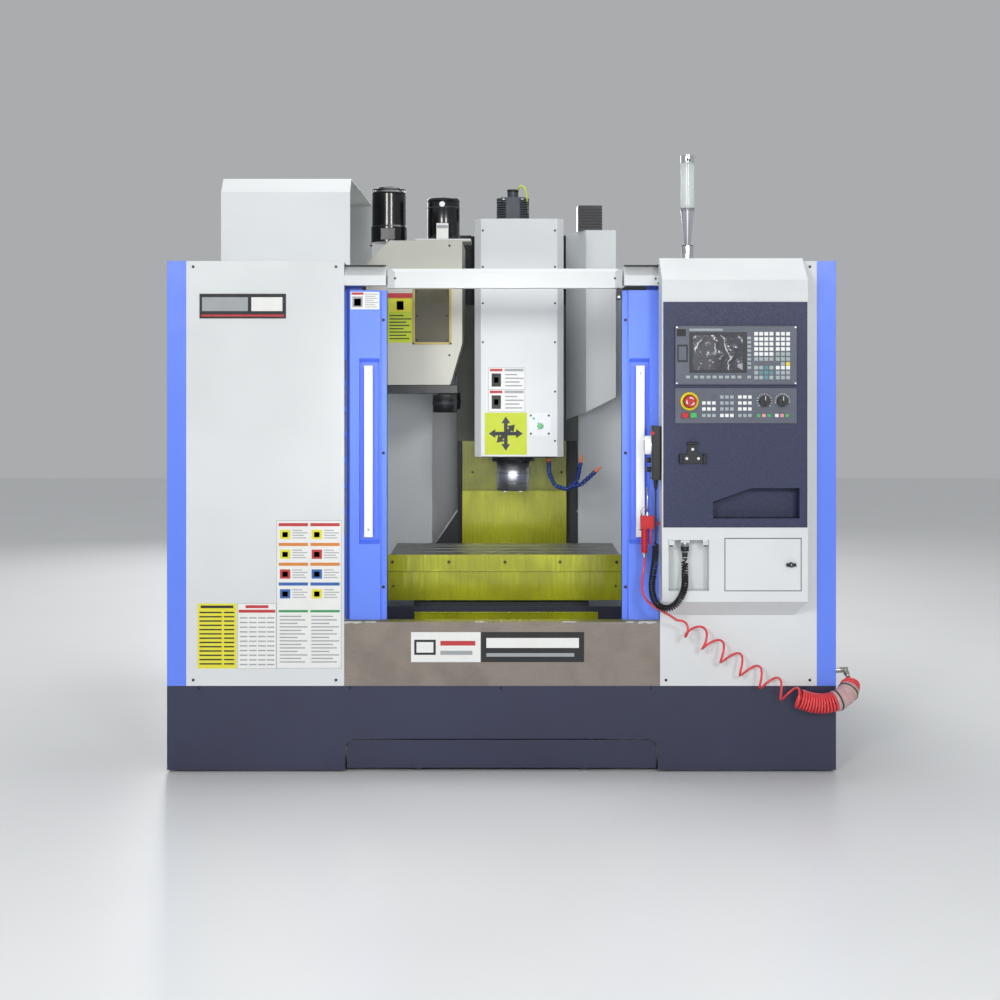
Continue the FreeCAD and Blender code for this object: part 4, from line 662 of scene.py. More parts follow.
def build_pendant_cable():
    """The pendant's black cable: straight from the pendant, then a tight coil to its plug in the recess."""
    turns = curly(path_points(CABLE_COIL), CABLE_COIL_RADIUS,
                  lambda share: CABLE_PITCH + 5.0 * max(0.0, share - 0.62), 16.0, 14)
    line = even_points(path_points(CABLE_LEAD), 40) + turns[1:]
    cable = Piece("pendant_cable").tube(line, CABLE_SIZE / 2, "cable", 8).made("black_cable")
    plug = Piece("pendant_cable_plug")
    plug.rod(at(620, -90, 742), at(620, -90, 766), 8.2, "black", 10.6, 0.8)
    plug.collar(at(620, -90, 766), at(620, -90, 792), 13.5, 8.0, "steel", 30)
    plug.collar(at(620, -90, 771), at(620, -90, 787), 14.2, 8.0, "black", 12)
    plug.slab(at(604, -106, 800), at(636, -74, 810.5), "steel", 1.0)
    plug.collar(at(620, -90, 792), at(620, -90, 801), 11.0, 8.0, "steel", 24)
    plug = plug.made("black_plastic")
    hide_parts("pendant_cable_lead", "pendant_cable_coil")
    relief = Piece("pendant_strain_relief")
    relief.rod(at(523, -70, 976), at(523, -70, 1013), 4.2, "black", 8.0, 0.5)
    for level in (984, 992, 1000):
        relief.rod(at(523, -70, level), at(523, -70, level + 3.4), 7.0 + (level - 984) * 0.06, "black", bevel=0.4)
    relief.made("black_plastic")


# ------------------------------------------------------------------ doors and cladding

def build_door_details(side, sign):
    """Window panes, seal, screws and a bare label on one door."""
    low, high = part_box(f"{side}_door")
    edge = (high.x if sign < 0 else low.x) / MM

    def out(distance):
        return edge + sign * distance
    trim = Piece(f"{side}_door_trim", f"{side}_door")
    near, far = sorted((out(131), out(440)))
    trim.slab(at(near, 46.6, 800), at(far, 50.6, 1432), "door_pane", 0.6)
    for index in range(8):
        level = 804.5 + 89 * index
        trim.slab(at(near, 50.6, level - 5), at(far, 53, level + 5), "black", 0.8)
    for level in (633.6, 1096.4, 1555.7):
        trim.screw(at(out(12), 26, level), 5.5)
    seal_low, seal_high = sorted((out(-1.2), out(0.4)))
    trim.slab(at(seal_low, 29, 524), at(seal_high, 43, 1656), "black", 1.0)
    if sign < 0:
        trim.placard(at(out(124), 14, 1592), at(out(25), 14, 1652), "vinyl_white",
                     [(0.03, 0.45, 0.84, 0.97, "ink_red"), (0.06, 0.42, 0.12, 0.74, "ink_grey"),
                      (0.12, 0.36, 0.2, 0.62, "ink_black")] + print_lines(0.5, 0.97, 0.08, 0.94, 7), 0.6)
    trim.made("blue_paint")

    cap = Piece(f"{side}_handle_ends", f"{side}_door")
    low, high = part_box(f"{side}_door_handle")
    middle = (low.x + high.x) / 2 / MM
    for level, way in ((808, 1), (1398, -1)):
        cap.slab(at(middle - 15.3, 1.6, level), at(middle + 15.3, 14.4, level + way * 9), "white_plastic", 2.0)
        cap.screw(at(middle, 1.6, level + way * 26), 4.0, "steel")
    cap.made("white_plastic")


def build_front_placards():
    """Bare name plate, tables and instruction placards on the left sheet, and screws along the base."""
    sheet = Piece("front_placards")
    sheet.placard(at(-1038, 0, 1560), at(-741, 0, 1645), "ink_black",
                  [(0.02, 0.98, 0.08, 0.16, "ink_red"), (0.03, 0.56, 0.3, 0.86, "ink_grey"),
                   (0.6, 0.96, 0.3, 0.86, "vinyl_white")], 2.0)
    rows = [(0.08, 0.92, 0.93, 0.97, "ink_black")]
    for line in range(13):
        level = 0.06 + line * 0.066
        rows += [(0.05, 0.62, level, level + 0.022, "ink_black"), (0.68, 0.94, level, level + 0.022, "ink_black")]
    sheet.placard(at(-1045, 0, 357), at(-911, 0, 580), "vinyl_yellow", rows)
    rows = [(0.2, 0.8, 0.93, 0.975, "ink_red"), (0.02, 0.98, 0.86, 0.905, "ink_red")]
    for line in range(11):
        level = 0.05 + line * 0.072
        rows += [(x, x + 0.2, level, level + 0.02, "ink_grey") for x in (0.05, 0.29, 0.53, 0.76)]
    sheet.placard(at(-906, 0, 357), at(-775, 0, 580), "vinyl_white", rows)
    for low, high in (((-773.5, 357), (-550.5, 866.5)), ((-907.5, 355.5), (-773.5, 581.5))):
        sheet.placard(at(low[0], 0.3, low[1]), at(high[0], 0.3, high[1]), "ink_grey", (), 0.6)
    sheet.placard(at(-772, 0, 358.5), at(-552, 0, 865), "vinyl_white")
    heads = ("ink_red", "ink_orange", "ink_orange", "ink_blue", "ink_green")
    signs = ("vinyl_yellow", "vinyl_yellow", "ink_red", "ink_blue", "vinyl_white")
    for row in range(5):
        top = 858 - row * 68 if row < 4 else 562
        tall = 64 if row < 4 else 196
        for column in range(2):
            x0 = -768 + column * 109
            head, sign = heads[row], signs[(row + column) % 4 if row < 4 else 4]
            fields = [(0.02, 0.98, 1 - 12 / tall, 0.98, head)]
            if row < 4:
                fields += [(0.06, 0.4, 0.12, 0.62, sign), (0.14, 0.32, 0.22, 0.5, "ink_black")]
                fields += print_lines(0.47, 0.96, 0.12, 0.66, 4)
            else:
                fields += print_lines(0.05, 0.96, 0.04, 0.9, 14)
            sheet.placard(at(x0, -0.7, top - tall), at(x0 + 105, -0.7, top), "vinyl_white", fields, 0.4)
    sheet.made()

    screws = Piece("front_screws")
    for x in (-1040, -521, -2, 514, 1040):
        screws.screw(at(x, 0, 289.5), 5.0)
    for x, z in ((-569, 317), (565.5, 317), (-569, 1738), (1060, 317), (1060, 1738), (-1060, 317), (-1060, 1738)):
        screws.screw(at(x, 0, z), 5.0)
    for x, z in ((530, 1697), (539, 1681)):
        screws.screw(at(x, 0, z), 3.6)
    screws.made()


def build_sill_plates():
    """Two bare badge plates on the sill, and the leftover film along its top edge."""
    plates = Piece("sill_plates")
    plates.slab(at(-311, -2.2, 379), at(-72, 0, 482), "vinyl_white", 0.6)
    plates.slab(at(-300, -2.6, 404), at(-226, -2.0, 456), "ink_black")
    plates.slab(at(-292, -3.0, 412), at(-234, -2.4, 448), "vinyl_white")
    plates.slab(at(-210, -2.6, 436), at(-90, -2.0, 452), "ink_red")
    plates.slab(at(-210, -2.6, 404), at(-100, -2.0, 418), "ink_grey")
    plates.slab(at(-70, -2.2, 379), at(284, 0, 482), "ink_black", 0.6)
    plates.slab(at(-52, -2.6, 428), at(266, -2.0, 462), "vinyl_white")
    plates.slab(at(-52, -2.6, 398), at(250, -2.0, 410), "ink_grey")
    plates.made()
    scraps = Piece("film_scraps")
    for x, wide, drop in ((-540, 60, 7), (-468, 38, 4), (430, 26, 5), (470, 62, 8), (-90, 30, 3), (210, 46, 3)):
        shape = [(x + wide * part, 517.4 - drop * (0.4 + 0.6 * ((index * 7) % 3) / 2))
                 for index, part in enumerate((1.0, 0.83, 0.6, 0.42, 0.2, 0.0))]
        corners = [at(x, -0.6, 519), at(x + wide, -0.6, 519)] + [at(px, -0.6, pz) for px, pz in shape]
        scraps.plate(corners, (0, 0.5, 0), "wrap")
    scraps.made()


def build_header_details():
    """Seam lines, the door switch and the joint screws of the header."""
    trim = Piece("header_trim")
    trim.slab(at(396, 1, 1624), at(411, 11.5, 1665), "black", 2.0)
    trim.rod(at(403, -4, 1634), at(403, 1, 1634), 4.5, "steel", bevel=0.6)
    for x in (-366, 390):
        trim.screw(at(x, 0, 1698), 4.0)
    trim.slab(at(-541, 0.2, 1743), at(-398.5, 59, 1744.2), "black")
    trim.slab(at(422.5, 0.2, 1743), at(544, 59, 1744.2), "black")
    trim.made("white_paint")


def build_side_and_rear_details():
    """Access covers with catches on both sides, and the cabinet's doors, vents and fittings behind."""
    covers = Piece("side_covers")
    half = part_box("side_panels")[1].x / MM
    for sign in (-1, 1):
        inside, line, catch = (sign * (half + step) for step in (-0.5, 0.3, 0.6))
        for low, high in ((260, 900), (960, 1640)):
            for level in (420, 1560):
                covers.slab(at(inside, low, level), at(line, high, level + 4), "ink_grey")
            for edge in (low, high):
                covers.slab(at(inside, edge - 2, 420), at(line, edge + 2, 1564), "ink_grey")
            for level in (620, 1360):
                covers.rod(at(inside, high - 50, level), at(catch, high - 50, level), 14, "black")
                covers.slab(at(inside, high - 53, level - 10), at(catch + sign * 0.2, high - 47, level + 10), "steel")
        for slot in range(9):
            level = 520 + slot * 18
            covers.slab(at(inside, 1120, level), at(catch, 1480, level + 6), "black")
    covers.made()

    low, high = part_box("electrical_cabinet")
    rear = (high.y - FRONT) / MM
    doors = Piece("cabinet_details")
    for x0, x1 in ((-626, -4), (4, 626)):
        doors.slab(at(x0, rear - 29, 376), at(x1, rear - 8, 1704), "white", 4.0)
        for slot in range(12):
            level = 460 + slot * 17
            doors.slab(at((x0 + x1) / 2 - 130, rear - 9, level), at((x0 + x1) / 2 + 130, rear - 5, level + 7),
                       "ink_grey", 1.5)
    for x in (-34, 34):
        doors.slab(at(x - 12, rear - 10, 1000), at(x + 12, rear - 2, 1110), "black", 3.0)
        doors.rod(at(x, rear - 8, 1085), at(x, rear - 0.5, 1085), 8, "steel", bevel=0.8)
    for x in (-622, 622):
        for level in (520, 1040, 1560):
            doors.rod(at(x, rear - 6, level - 30), at(x, rear - 6, level + 30), 5, "steel", bevel=1.0)
    doors.rod(at(250, rear - 10, 1380), at(250, rear - 1, 1380), 34, "yellow", bevel=1.0)
    doors.slab(at(244, rear - 3, 1352), at(256, rear - 0.5, 1408), "red", 2.0)
    doors.made()


# ------------------------------------------------------------------ console

def build_display():
    """Screen with its film, soft keys, card cover and keypads."""
    face = (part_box("display_unit")[0].y - FRONT) / MM
    unit = Piece("display_keys")

    def key(x, z, wide, tall, finish, rise=2.2):
        unit.slab(at(x - wide / 2, face - rise, z - tall / 2), at(x + wide / 2, face + 0.5, z + tall / 2), finish, 1.2)
    unit.slab(at(585, face - 1.6, 1336), at(989, face + 0.4, 1529), "grey", 1.6)
    unit.slab(at(630, face - 2.6, 1374), at(822, face, 1509), "black", 2.0)
    for index in range(8):
        key(651.9 + 20.84 * index, 1359.5, 14, 10, "key_grey", 3.4)
        key(830.4, 1490.4 - 14.2 * index, 13, 9, "key_grey", 3.4)
    key(625.7, 1359.5, 13, 10, "key_grey", 3.4)
    key(830.4, 1359.5, 13, 10, "key_grey", 3.4)
    unit.slab(at(590, face - 3.0, 1410), at(624, face, 1468), "black", 2.0)
    unit.slab(at(594, face - 3.6, 1416), at(620, face - 2, 1462), "grey", 1.5)
    unit.slab(at(588, face - 2.0, 1496), at(618, face, 1520), "ink_black")
    unit.slab(at(630, face - 2.0, 1514), at(742, face, 1522), "ink_grey")
    left_columns, right_columns = (853.8, 870.6, 887.8, 905.0), (926.3, 943.7, 960.9)
    for row, z in enumerate((1504.5, 1487.0, 1470.6, 1453.5, 1436.7, 1419.9)):
        for column in left_columns:
            key(column, z, 13.5, 12.5, "key_white" if row < 5 else "key_grey")
        for column in right_columns:
            key(column, z, 13.5, 12.5, "key_white" if row < 4 else "key_grey")
    key(943.7, 1403.8, 13.5, 12.5, "key_grey")
    key(960.9, 1403.8, 13.5, 12.5, "yellow")
    for row, z in enumerate((1391.0, 1374.3, 1357.8)):
        for index, column in enumerate(left_columns):
            cross = (row == 1 and index in (1, 2, 3)) or index == 2
            key(column, z, 13.5, 12.5, "key_teal" if cross else "key_grey")
        for column in right_columns:
            key(column, z, 13.5, 12.5, "key_grey" if row else "key_white")
    for x in (588, 986):
        for z in (1339, 1526):
            unit.rod(at(x, face - 2.4, z), at(x, face, z), 3.2, "steel", bevel=0.5, sides=16)
    unit.made("grey_plastic")

    screen = Piece("display_screen")
    screen.slab(at(641, face - 3.2, 1383), at(809, face - 2.0, 1500), "screen", 0.5)
    screen.made()


def build_control_keys():
    """The machine keys, the dials' scales and the rings round the stop button."""
    face = (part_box("control_unit")[1].y - FRONT) / MM - 6
    unit = Piece("control_keys")

    def key(x, z, finish):
        unit.slab(at(x - 6.2, face - 2.2, z - 5.6), at(x + 6.2, face + 0.5, z + 5.6), finish, 1.2)
    unit.slab(at(585, face - 1.2, 1206), at(604, face + 0.3, 1320), "grey", 1.0)
    for x in (679.4, 696.1, 712.9):
        for row, z in enumerate((1272.3, 1252.2, 1230.4)):
            key(x, z, "key_grey" if row == 2 else "key_white")
    key(712.9, 1292.4, "grey")
    for group, columns in enumerate(((739.8, 756.5, 773.3), (800.2, 816.9, 833.7))):
        for row, z in enumerate((1292.4, 1272.3, 1252.2, 1230.4)):
            for column in columns:
                plain = (group == 0 and row in (0, 1, 2)) or (group == 1 and row == 3)
                key(column, z, "key_grey" if plain else "key_white")
    for x, finish in ((862.9, "green"), (880.7, "key_pink"), (898.5, "green"), (924.0, "key_white"),
                      (941.7, "key_pink"), (959.2, "green")):
        key(x, 1230.4, finish)
    for centre, start, end in zip(DIAL_CENTRES, (-130, -100), (130, 100)):
        for tick in range(13):
            angle = math.radians(start + (end - start) * tick / 12)
            spot = Vector((math.sin(angle), 0, math.cos(angle)))
            middle = at(centre, face - 0.3, DIAL_HEIGHT)
            unit.rod(middle + spot * 21.5 * MM, middle + spot * 26.5 * MM, 1.0 if tick % 3 else 1.5, "key_white",
                     sides=6)
    unit.made("grey_plastic")

    ring = Piece("stop_ring")
    x, z = STOP_CENTRE
    ring.collar(at(x, face - 6.4, z), at(x, face + 0.2, z), 30.6, 21.5, "yellow", 48)
    ring.collar(at(x, face - 9.0, z), at(x, face - 5.5, z), 21.6, 12.0, "black", 40)
    ring.made()

    head = Piece("stop_arrows", "stop_button")
    front = (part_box("stop_button")[0].y - FRONT) / MM
    for index in range(3):
        for step in range(4):
            angle = math.radians(index * 120 + step * 17)
            across, level = x + 12.5 * math.sin(angle), z + 12.5 * math.cos(angle)
            head.rod(at(across, front - 0.5, level), at(across, front + 0.3, level), 2.6 - 0.45 * step,
                     "white_plastic", sides=12)
    head.collar(at(x, front - 0.1, z), at(x, front + 6, z), 20.4, 17.0, "red", 24)
    head.made("red_plastic")

    for name, colour in (("red_key", "red"), ("green_key", "green")):
        low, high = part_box(name)
        centre_x, centre_z = (low.x + high.x) / 2 / MM, (low.z + high.z) / 2 / MM
        front = (low.y - FRONT) / MM
        cap = Piece(f"{name}_cap", name)
        cap.slab(at(centre_x - 11.2, front - 2, centre_z - 8.6), at(centre_x + 11.2, front + 2.4, centre_z + 8.6),
                 colour, 1.6)
        cap.made(f"{colour}_plastic")
    for name in ("feed_dial", "speed_dial"):
        low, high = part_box(name)
        centre_x, front = (low.x + high.x) / 2 / MM, (low.y - FRONT) / MM
        knob = Piece(f"{name}_grip", name)
        for step in range(18):
            angle = math.radians(step * 20)
            x, z = centre_x + 16.6 * math.sin(angle), DIAL_HEIGHT + 16.6 * math.cos(angle)
            knob.rod(at(x, front + 5, z), at(x, front + 21, z), 1.5, "black", sides=6)
        knob.slab(at(centre_x - 1.1, front - 0.3, DIAL_HEIGHT + 2),
                  at(centre_x + 1.1, front + 0.4, DIAL_HEIGHT + 16), "key_white")
        knob.made("black_plastic")


def build_console_details():
    """Pendant bracket, store seam and lock plate, recess fittings and the panel's edges."""
    face = -123
    bracket = Piece("pendant_bracket")
    shape = [(601, 1069), (682, 1069), (682, 1098), (661, 1100), (656, 1118), (656, 1139), (627, 1139), (627, 1118),
             (622, 1100), (601, 1098)]
    bracket.plate([at(x, face, z) for x, z in shape], (0, -9, 0), "black")
    bracket.slab(at(597, face - 20, 1069), at(607, face, 1101), "black", 2.0)
    bracket.slab(at(676, face - 20, 1069), at(686, face, 1101), "black", 2.0)
    bracket.slab(at(624, face - 20, 1133), at(659, face, 1141), "black", 2.0)
    for x, z in ((641.5, 1117), (621.7, 1086), (661, 1086)):
        bracket.rod(at(x, face - 12, z), at(x, face - 8, z), 4.6, "white_plastic", bevel=1.0)
    bracket.made("black_plastic")

    trim = Piece("console_trim")
    low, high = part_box("store_door")
    x0, x1, z0, z1 = low.x / MM, high.x / MM, low.z / MM, high.z / MM
    front = -120
    for a, b in (((x0 - 2.6, z0 - 2.6), (x0 - 0.7, z1 + 2.6)), ((x1 + 0.7, z0 - 2.6), (x1 + 2.6, z1 + 2.6)),
                 ((x0 - 2.6, z0 - 2.6), (x1 + 2.6, z0 - 0.7)), ((x0 - 2.6, z1 + 0.7), (x1 + 2.6, z1 + 2.6))):
        trim.slab(at(a[0], front - 0.3, a[1]), at(b[0], front + 0.5, b[1]), "ink_black")
    trim.slab(at(563, -119, 793), at(583, -98, 810.5), "steel", 1.0)
    trim.slab(at(677, -119, 793), at(697, -98, 810.5), "steel", 1.0)
    for x in (573, 687):
        trim.rod(at(x, -108, 788), at(x, -108, 793), 4.5, "black", bevel=0.6)
    trim.slab(at(544, -121.2, 853.4), at(1027, -119.6, 855), "ink_black")
    trim.slab(at(1027, -121.2, 853.4), at(1028.6, -119.6, 1612), "ink_black")
    trim.made()

    plate = Piece("store_lock_plate", "store_lock")
    low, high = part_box("store_lock")
    centre_z, front = (low.z + high.z) / 2 / MM, (low.y - FRONT) / MM
    plate.rod(at(973, front - 0.4, centre_z), at(973, front + 2, centre_z), 7.4, "black", 8.2, 0.6)
    plate.slab(at(971.6, front - 1.0, centre_z - 3.5), at(974.4, front + 0.2, centre_z + 3.5), "steel", 0.4)
    plate.made("black_plastic")


def build_tower_details():
    """Ribs inside and round the lamp's clear lens, and the seams of its metal foot."""
    low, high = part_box("tower_lens")
    x, depth = (low.x + high.x) / 2 / MM, ((low.y + high.y) / 2 - FRONT) / MM
    base, top = low.z / MM, high.z / MM
    core = Piece("tower_core")
    core.rod(at(x, depth, base), at(x, depth, top), 8, "white_plastic", sides=20)
    for level in range(int(base) + 12, int(top) - 6, 26):
        core.rod(at(x, depth, level), at(x, depth, level + 3), 15, "white_plastic", bevel=0.8, sides=24)
    for rib in range(20):
        angle = 2 * math.pi * rib / 20
        spot = Vector((math.cos(angle), math.sin(angle), 0)) * 21.4 * MM
        core.tube([at(x, depth, base + 3) + spot, at(x, depth, top - 3) + spot], 1.5, "lens", 6)
    core.made()
    foot = Piece("tower_rings")
    for level, radius in ((1812, 20.8), (1934, 24.2), (1940, 24.2)):
        foot.collar(at(x, depth, level), at(x, depth, level + 2), radius, radius - 3, "black", 32)
    foot.slab(at(x - 6, depth - 24.5, 2103), at(x + 6, depth - 22, 2112), "black", 0.6)
    foot.made("bright_steel")


def build_hand_tool_details():
    """The pendant's key pad and wheel scale, and the gun's hook and seams."""
    pad = Piece("pendant_fittings")
    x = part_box("pendant_body")[0].x / MM
    pad.slab(at(x - 1.2, -106, 1020), at(x + 0.5, -34, 1184), "grey", 1.0)
    pad.collar(at(x - 3, -70, 1128), at(x, -70, 1128), 36, 31, "steel", 40)
    pad.rod(at(x + 2, -112, 1170), at(x + 2, -109, 1170), 6, "red", bevel=0.8)
    for level in (1062, 1031):
        for tick in range(7):
            angle = math.radians(-60 + tick * 20)
            pad.rod(at(x - 1.4, -70 + 13 * math.sin(angle), level + 15 + 13 * math.cos(angle)),
                    at(x - 0.9, -70 + 13 * math.sin(angle), level + 15 + 13 * math.cos(angle)), 0.8, "key_white",
                    sides=6)
    pad.made("black_plastic")
    wheel = Piece("pendant_wheel_grip", "pendant_wheel")
    for step in range(24):
        angle = 2 * math.pi * step / 24
        wheel.rod(at(486.5, -70 + 29.8 * math.sin(angle), 1128 + 29.8 * math.cos(angle)),
                  at(506, -70 + 29.8 * math.sin(angle), 1128 + 29.8 * math.cos(angle)), 1.6, "white_plastic", sides=6)
    wheel.made("white_plastic")
    gun = Piece("gun_fittings")
    gun.rod(at(497, -50, 885), at(497, -50, 900), 6.5, "steel", 4.0, 0.5)
    gun.tube([at(497, -50, 900), at(497, -50, 983)], 3.3, "steel", 14)
    gun.tube([at(478, -50, 884), at(474, -50, 900), at(482, -50, 914), at(494, -50, 912)], 2.2, "steel", 8)
    gun.slab(at(479, -61.5, 786), at(495, -38.5, 790), "red", 1.5)
    gun.slab(at(479, -61.5, 838), at(495, -38.5, 842), "red", 1.5)
    gun.made("red_plastic")


# ------------------------------------------------------------------ machine inside

def build_head_details():
    """Bare placards, tool-release plate and screws on the head cover, and the spindle's rings."""
    cover = Piece("head_cover_details", "head")
    face = COVER_FACE
    cover.placard(at(-50.5, face + 0.3, 1222), at(90.5, face + 0.3, 1392.5), "ink_grey")
    for z0, z1, band in ((1309, 1391, "ink_red"), (1223.5, 1307, "ink_red")):
        cover.placard(at(-49, face, z0), at(89, face, z1), "vinyl_white",
                      [(0.03, 0.38, 0.84, 0.96, band), (0.44, 0.97, 0.84, 0.96, "ink_grey"),
                       (0.08, 0.34, 0.12, 0.74, "ink_black"), (0.15, 0.27, 0.3, 0.56, "vinyl_white")]
                      + print_lines(0.46, 0.97, 0.08, 0.78, 4))
    cover.placard(at(-65, face, 1057), at(98, face, 1219), "vinyl_lime")
    middle = at(16.5, face - 0.7, 1138)
    for turn, degrees in enumerate((0, 90, 180, 270, 45, 225)):
        angle = math.radians(degrees)
        reach = 66 if turn < 4 else 50
        along = Vector((math.cos(angle), 0, math.sin(angle)))
        across = Vector((-along.z, 0, along.x))
        tip, neck = middle + along * reach * MM, middle + along * (reach - 26) * MM
        cover.plate([tip, neck + across * 17 * MM, neck + across * 7 * MM, middle + across * 7 * MM,
                     middle - across * 7 * MM, neck - across * 7 * MM, neck - across * 17 * MM],
                    (0, -0.35 - turn * 0.03, 0), "ink_black")
    cover.placard(at(104, face, 1129), at(191, face, 1217), "liner", (), 1.6)
    for x in (113, 182):
        for z in (1138, 1208):
            cover.screw(at(x, face - 1.6, z), 4.2)
    cover.rod(at(148, face - 7, 1167), at(148, face - 1, 1167), 11, "green", bevel=1.6)
    cover.collar(at(148, face - 4, 1167), at(148, face - 1, 1167), 14.5, 11.2, "steel")
    cover.rod(at(124, face - 4, 1196), at(124, face - 1, 1196), 4.5, "green", bevel=1.0)
    for z in (1110, 1300, 1490, 1640, 1780, 1920):
        cover.screw(at(206, face, z), 4.2)
        if z > 1400:
            cover.screw(at(-72, face, z), 4.2)
    cover.slab(at(-78, face - 0.6, 1046.6), at(214, face + 30, 1050), "ink_black")
    cover.made("white_paint")

    spindle = Piece("spindle_rings", "head")
    spindle.collar(at(*SPINDLE, 1022), at(*SPINDLE, 1047), 83, 64.2, "casting", 56)
    spindle.collar(at(*SPINDLE, 906.4), at(*SPINDLE, 1023), 64.4, 41, "spindle_steel", 56)
    for level, size in ((934, 65.6), (975, 65.0), (1002, 65.0)):
        spindle.collar(at(*SPINDLE, level), at(*SPINDLE, level + 1.5), size, 63, "motor", 56)
    for step in range(8):
        angle = 2 * math.pi * (step + 0.5) / 8
        x, depth = SPINDLE[0] + 73 * math.cos(angle), SPINDLE[1] + 73 * math.sin(angle)
        spindle.screw(at(x, depth, 1022), 5.0, "steel", (0, 0, -1))
    spindle.made("bright_steel")

    nose = Piece("spindle_drive_keys", "spindle")
    for sign in (-1, 1):
        nose.slab(at(SPINDLE[0] + sign * 24, SPINDLE[1] - 8, 897.5),
                  at(SPINDLE[0] + sign * 37, SPINDLE[1] + 8, 905.5), "steel", 1.0)
    nose.made("bright_steel")

    # painted shade: the way cover below the head gets the film's darker olive copy, as it lies in shade there
    cover_plate = Piece("column_way_cover", "head")
    cover_plate.slab(at(-168, 1322, 869), at(277, 1325, 1084), "film_painted_shade", 1.0)
    cover_plate.slab(at(-168, 1318, 869), at(277, 1322, 877), "film_painted_shade", 1.0)
    for x in (-122, 256):
        cover_plate.screw(at(x, 1322, 947), 5.5)
    cover_plate.made("film_steel")


def build_coolant_pipes():
    """Jointed blue pipes from the manifold, each bead on the next, with orange nozzles."""
    root = at(132 + 57, 860, 1036)
    route = [(0, 0), (0, -60), (22, -112), (72, -128), (112, -92), (124, -30)]
    branch = [(84, -118), (128, -108), (176, -64)]
    pipes = Piece("coolant_pipes", "head")
    pipes.slab(at(132, 820, 1036), at(228, 900, 1060), "black", 2.0)
    for x in (146, 214):
        pipes.screw(at(x, 820, 1048), 4.5, "steel")
    for points in (route, branch):
        path = [root + Vector((x * MM, 0, z * MM)) for x, z in points]
        length = line_length(path)
        beads = max(3, round(length / (15 * MM)))
        spots = even_points(path, beads + 1)
        for index, (first, second) in enumerate(zip(spots, spots[1:])):
            ahead = second - first
            pipes.rod(first + ahead * 0.02, first + ahead * 0.42, 9.2, "pipe_blue", 8.6, 0.5, 20)
            pipes.rod(first + ahead * 0.40, first + ahead * 0.98, 6.2, "pipe_blue", 9.2, 0.5, 20)
            if index % 4 == 1:
                pipes.rod(first + ahead * 0.05, first + ahead * 0.3, 10.2, "pipe_blue", bevel=0.6, sides=20)
        lean = (path[-1] - path[-2]).normalized()
        pipes.rod(path[-1], path[-1] + lean * 10 * MM, 9.0, "pipe_blue", 8.0, 0.5, 20)
        pipes.rod(path[-1] + lean * 9 * MM, path[-1] + lean * 41 * MM, 7.6, "orange", 3.4, 0.6, 20)
    pipes.rod(root + Vector((0, 0, -0.002)), root + Vector((0, 0, -0.022)), 10.5, "orange", 9.5, 1.0, 24)
    pipes = pipes.made("jointed_hose")
    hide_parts("coolant_hoses")


def build_motor_details():
    """Ribs, end caps and cables on the motors, and the canister's cap and labels."""
    motor = Piece("spindle_motor_details", "head")
    motor.slab(at(-2, 797, 2050), at(92, 923, 2064), "motor", 3.0)
    for x in (8, 82):
        motor.screw(at(x, 797, 2056), 4.0, "steel")
    motor.tube([at(64, 830, 2096), at(76, 828, 2112), at(92, 826, 2104), at(100, 826, 2060), at(104, 830, 2000)],
               3.6, "vinyl_lime", 10)
    motor.collar(at(*SPINDLE, 2090), at(*SPINDLE, 2099), 23.5, 15, "black")
    for level in range(1990, 2046, 9):
        motor.slab(at(-17.6, 796.5, level), at(107.6, 923.5, level + 3.2), "motor", 1.0)
    motor.made("motor_grey")

    drive = Piece("drive_motor_details")
    for level in (1892, 1908, 2070, 2082):
        drive.collar(at(*DRIVE_MOTOR, level), at(*DRIVE_MOTOR, level + 5), 67.2, 60, "gloss_black", 48)
    drive.rod(at(*DRIVE_MOTOR, 2088), at(*DRIVE_MOTOR, 2097), 40, "gloss_black", bevel=3.0, sides=40)
    drive.slab(at(-470, 690, 1885), at(-410, 700, 1935), "gloss_black", 3.0)
    for slot in range(7):
        level = 1972 + slot * 12
        drive.slab(at(315, 1119.0, level), at(417, 1121, level + 5), "black", 1.0)
    drive.slab(at(314.5, 1118.6, 1962), at(417.5, 1121, 1968), "motor", 0.8)
    drive.made("black_gloss")

    can = Piece("canister_body")
    can.rod(at(*CANISTER, 1886), at(*CANISTER, 2042), 63.5, "gloss_black", bevel=7.0, sides=56)
    can.rod(at(*CANISTER, 2040), at(*CANISTER, 2052), 65.8, "gloss_black", 61, 2.0, 56)
    can.rod(at(*CANISTER, 2050), at(*CANISTER, 2059), 9, "gloss_black", bevel=2.0)
    can.collar(at(*CANISTER, 2014), at(*CANISTER, 2017), 64.6, 60, "motor", 56)
    can.rod(at(-230, 695.5, 2026), at(-230, 698.5, 2026), 11, "white_plastic", bevel=1.0)
    can.slab(at(-252, 695.8, 1892), at(-206, 701, 1952), "vinyl_white", 0.5)
    can.slab(at(-250, 695.4, 1932), at(-208, 698, 1944), "ink_grey")
    can = can.made("black_gloss")
    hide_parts("oil_canister")


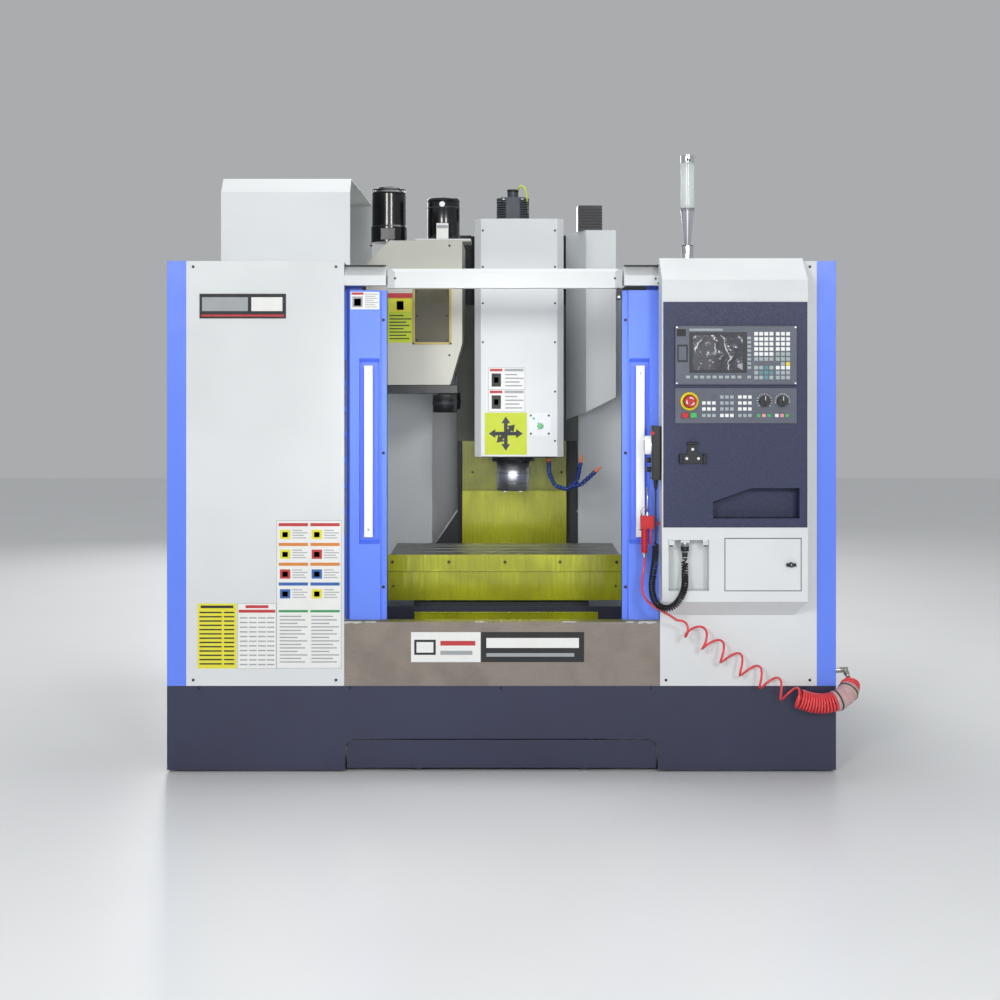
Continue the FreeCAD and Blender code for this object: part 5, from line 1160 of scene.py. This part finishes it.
def build_magazine_details():
    """Window pane in its yellow gasket, label, lower edge, shelf and grippers of the tool magazine."""
    face = (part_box("magazine_cover")[0].y - FRONT) / MM
    window = Piece("magazine_window")
    x0, x1, z0, z1 = -336, -197, 1486, 1697
    window.slab(at(x0, face - 3.4, z0), at(x1, face - 0.2, z1), "pane", 0.6)
    for low, high in (((x0 - 5, z0 - 5), (x1 + 5, z0 + 4)), ((x0 - 5, z1 - 4), (x1 + 5, z1 + 5)),
                      ((x0 - 5, z0 - 5), (x0 + 4, z1 + 5)), ((x1 - 4, z0 - 5), (x1 + 5, z1 + 5))):
        window.slab(at(low[0], face - 4.4, low[1]), at(high[0], face, high[1]), "gasket", 1.4)
    for x in (x0 + 12, x1 - 12):
        for z in (z0 + 12, (z0 + z1) / 2, z1 - 12):
            window.screw(at(x, face - 3.4, z), 5.0)
    window.made()

    trim = Piece("magazine_details")
    trim.placard(at(-436, face, 1488), at(-342, face, 1678), "vinyl_lime",
                 [(0.0, 1.0, 0.9, 1.0, "ink_red"), (0.05, 0.95, 0.62, 0.88, "vinyl_yellow"),
                  (0.36, 0.64, 0.66, 0.84, "ink_black")] + print_lines(0.06, 0.95, 0.05, 0.58, 8, "ink_black"))
    trim.slab(at(-440, face + 6, 1292), at(-168, face + 40, 1326), "black", 2.0)
    trim.slab(at(-336, face + 40, 1886), at(-118, face + 220, 1890), "liner", 1.0)
    for x in (-500, -200):
        for z in (1345, 1440, 1860):
            if (x, z) != (-200, 1345):
                trim.screw(at(x, face, z), 4.5)
    trim.made("beige_paint")

    grip = Piece("gripper_details", "swing_arm")
    for depth in (600, 1120):
        grip.collar(at(-216, depth, 1222), at(-216, depth, 1290), 46, 30, "black", 36)
        grip.collar(at(-216, depth, 1250), at(-216, depth, 1262), 47.5, 30, "casting", 36)
    grip.made("black_plastic")


def build_table_details():
    """Screws on the table guard, the wiper plate's slots and pale rods painted as highlights along the gussets' edges.
    """
    guard = Piece("guard_screws", "table")
    for x in (-408.6, -196.8, 13, 219.3, 431.5):
        guard.screw(at(x, GUARD_FACE, 663), 5.5)
    for x in (-405, 428):
        guard.screw(at(x, GUARD_FACE + 3, 573), 5.5)
    # painted shade: a thin strip of the film's darker copy along the step between the guard's two faces
    guard.slab(at(-425, 495.6, 626), at(451, 500.4, 629), "film_painted_shade", 1.0)
    guard.made("film_steel")

    wiper = Piece("wiper_details")
    for x in (-270, -120, 150, 300):
        wiper.slab(at(x - 14, 434.6, 448), at(x + 14, 437.2, 455), "ink_black", 0.8)
    wiper.slab(at(-323, 435.0, 480), at(358, 437.4, 485), "film", 1.0)
    wiper.made("film_steel")

    # painted highlight: pale rods along the gussets' sloping edges stand for the light those edges catch
    edges = Piece("gusset_painted_highlights")
    for points in (((-292, 627), (-190, 777)), ((427, 627), (325, 777))):
        (xa, za), (xb, zb) = points
        edges.tube([at(xa, 1398, za), at(xb, 1398, zb)], 3.0, "liner", 8)
    edges.made("casting_paint")


build_studio()
build_air_hose()
build_pendant_cable()
dress_nodes()
build_door_details("left", -1)
build_door_details("right", 1)
build_front_placards()
build_sill_plates()
build_header_details()
build_side_and_rear_details()
build_display()
build_control_keys()
build_console_details()
build_tower_details()
build_hand_tool_details()
build_head_details()
build_coolant_pipes()
build_motor_details()
build_magazine_details()
build_table_details()
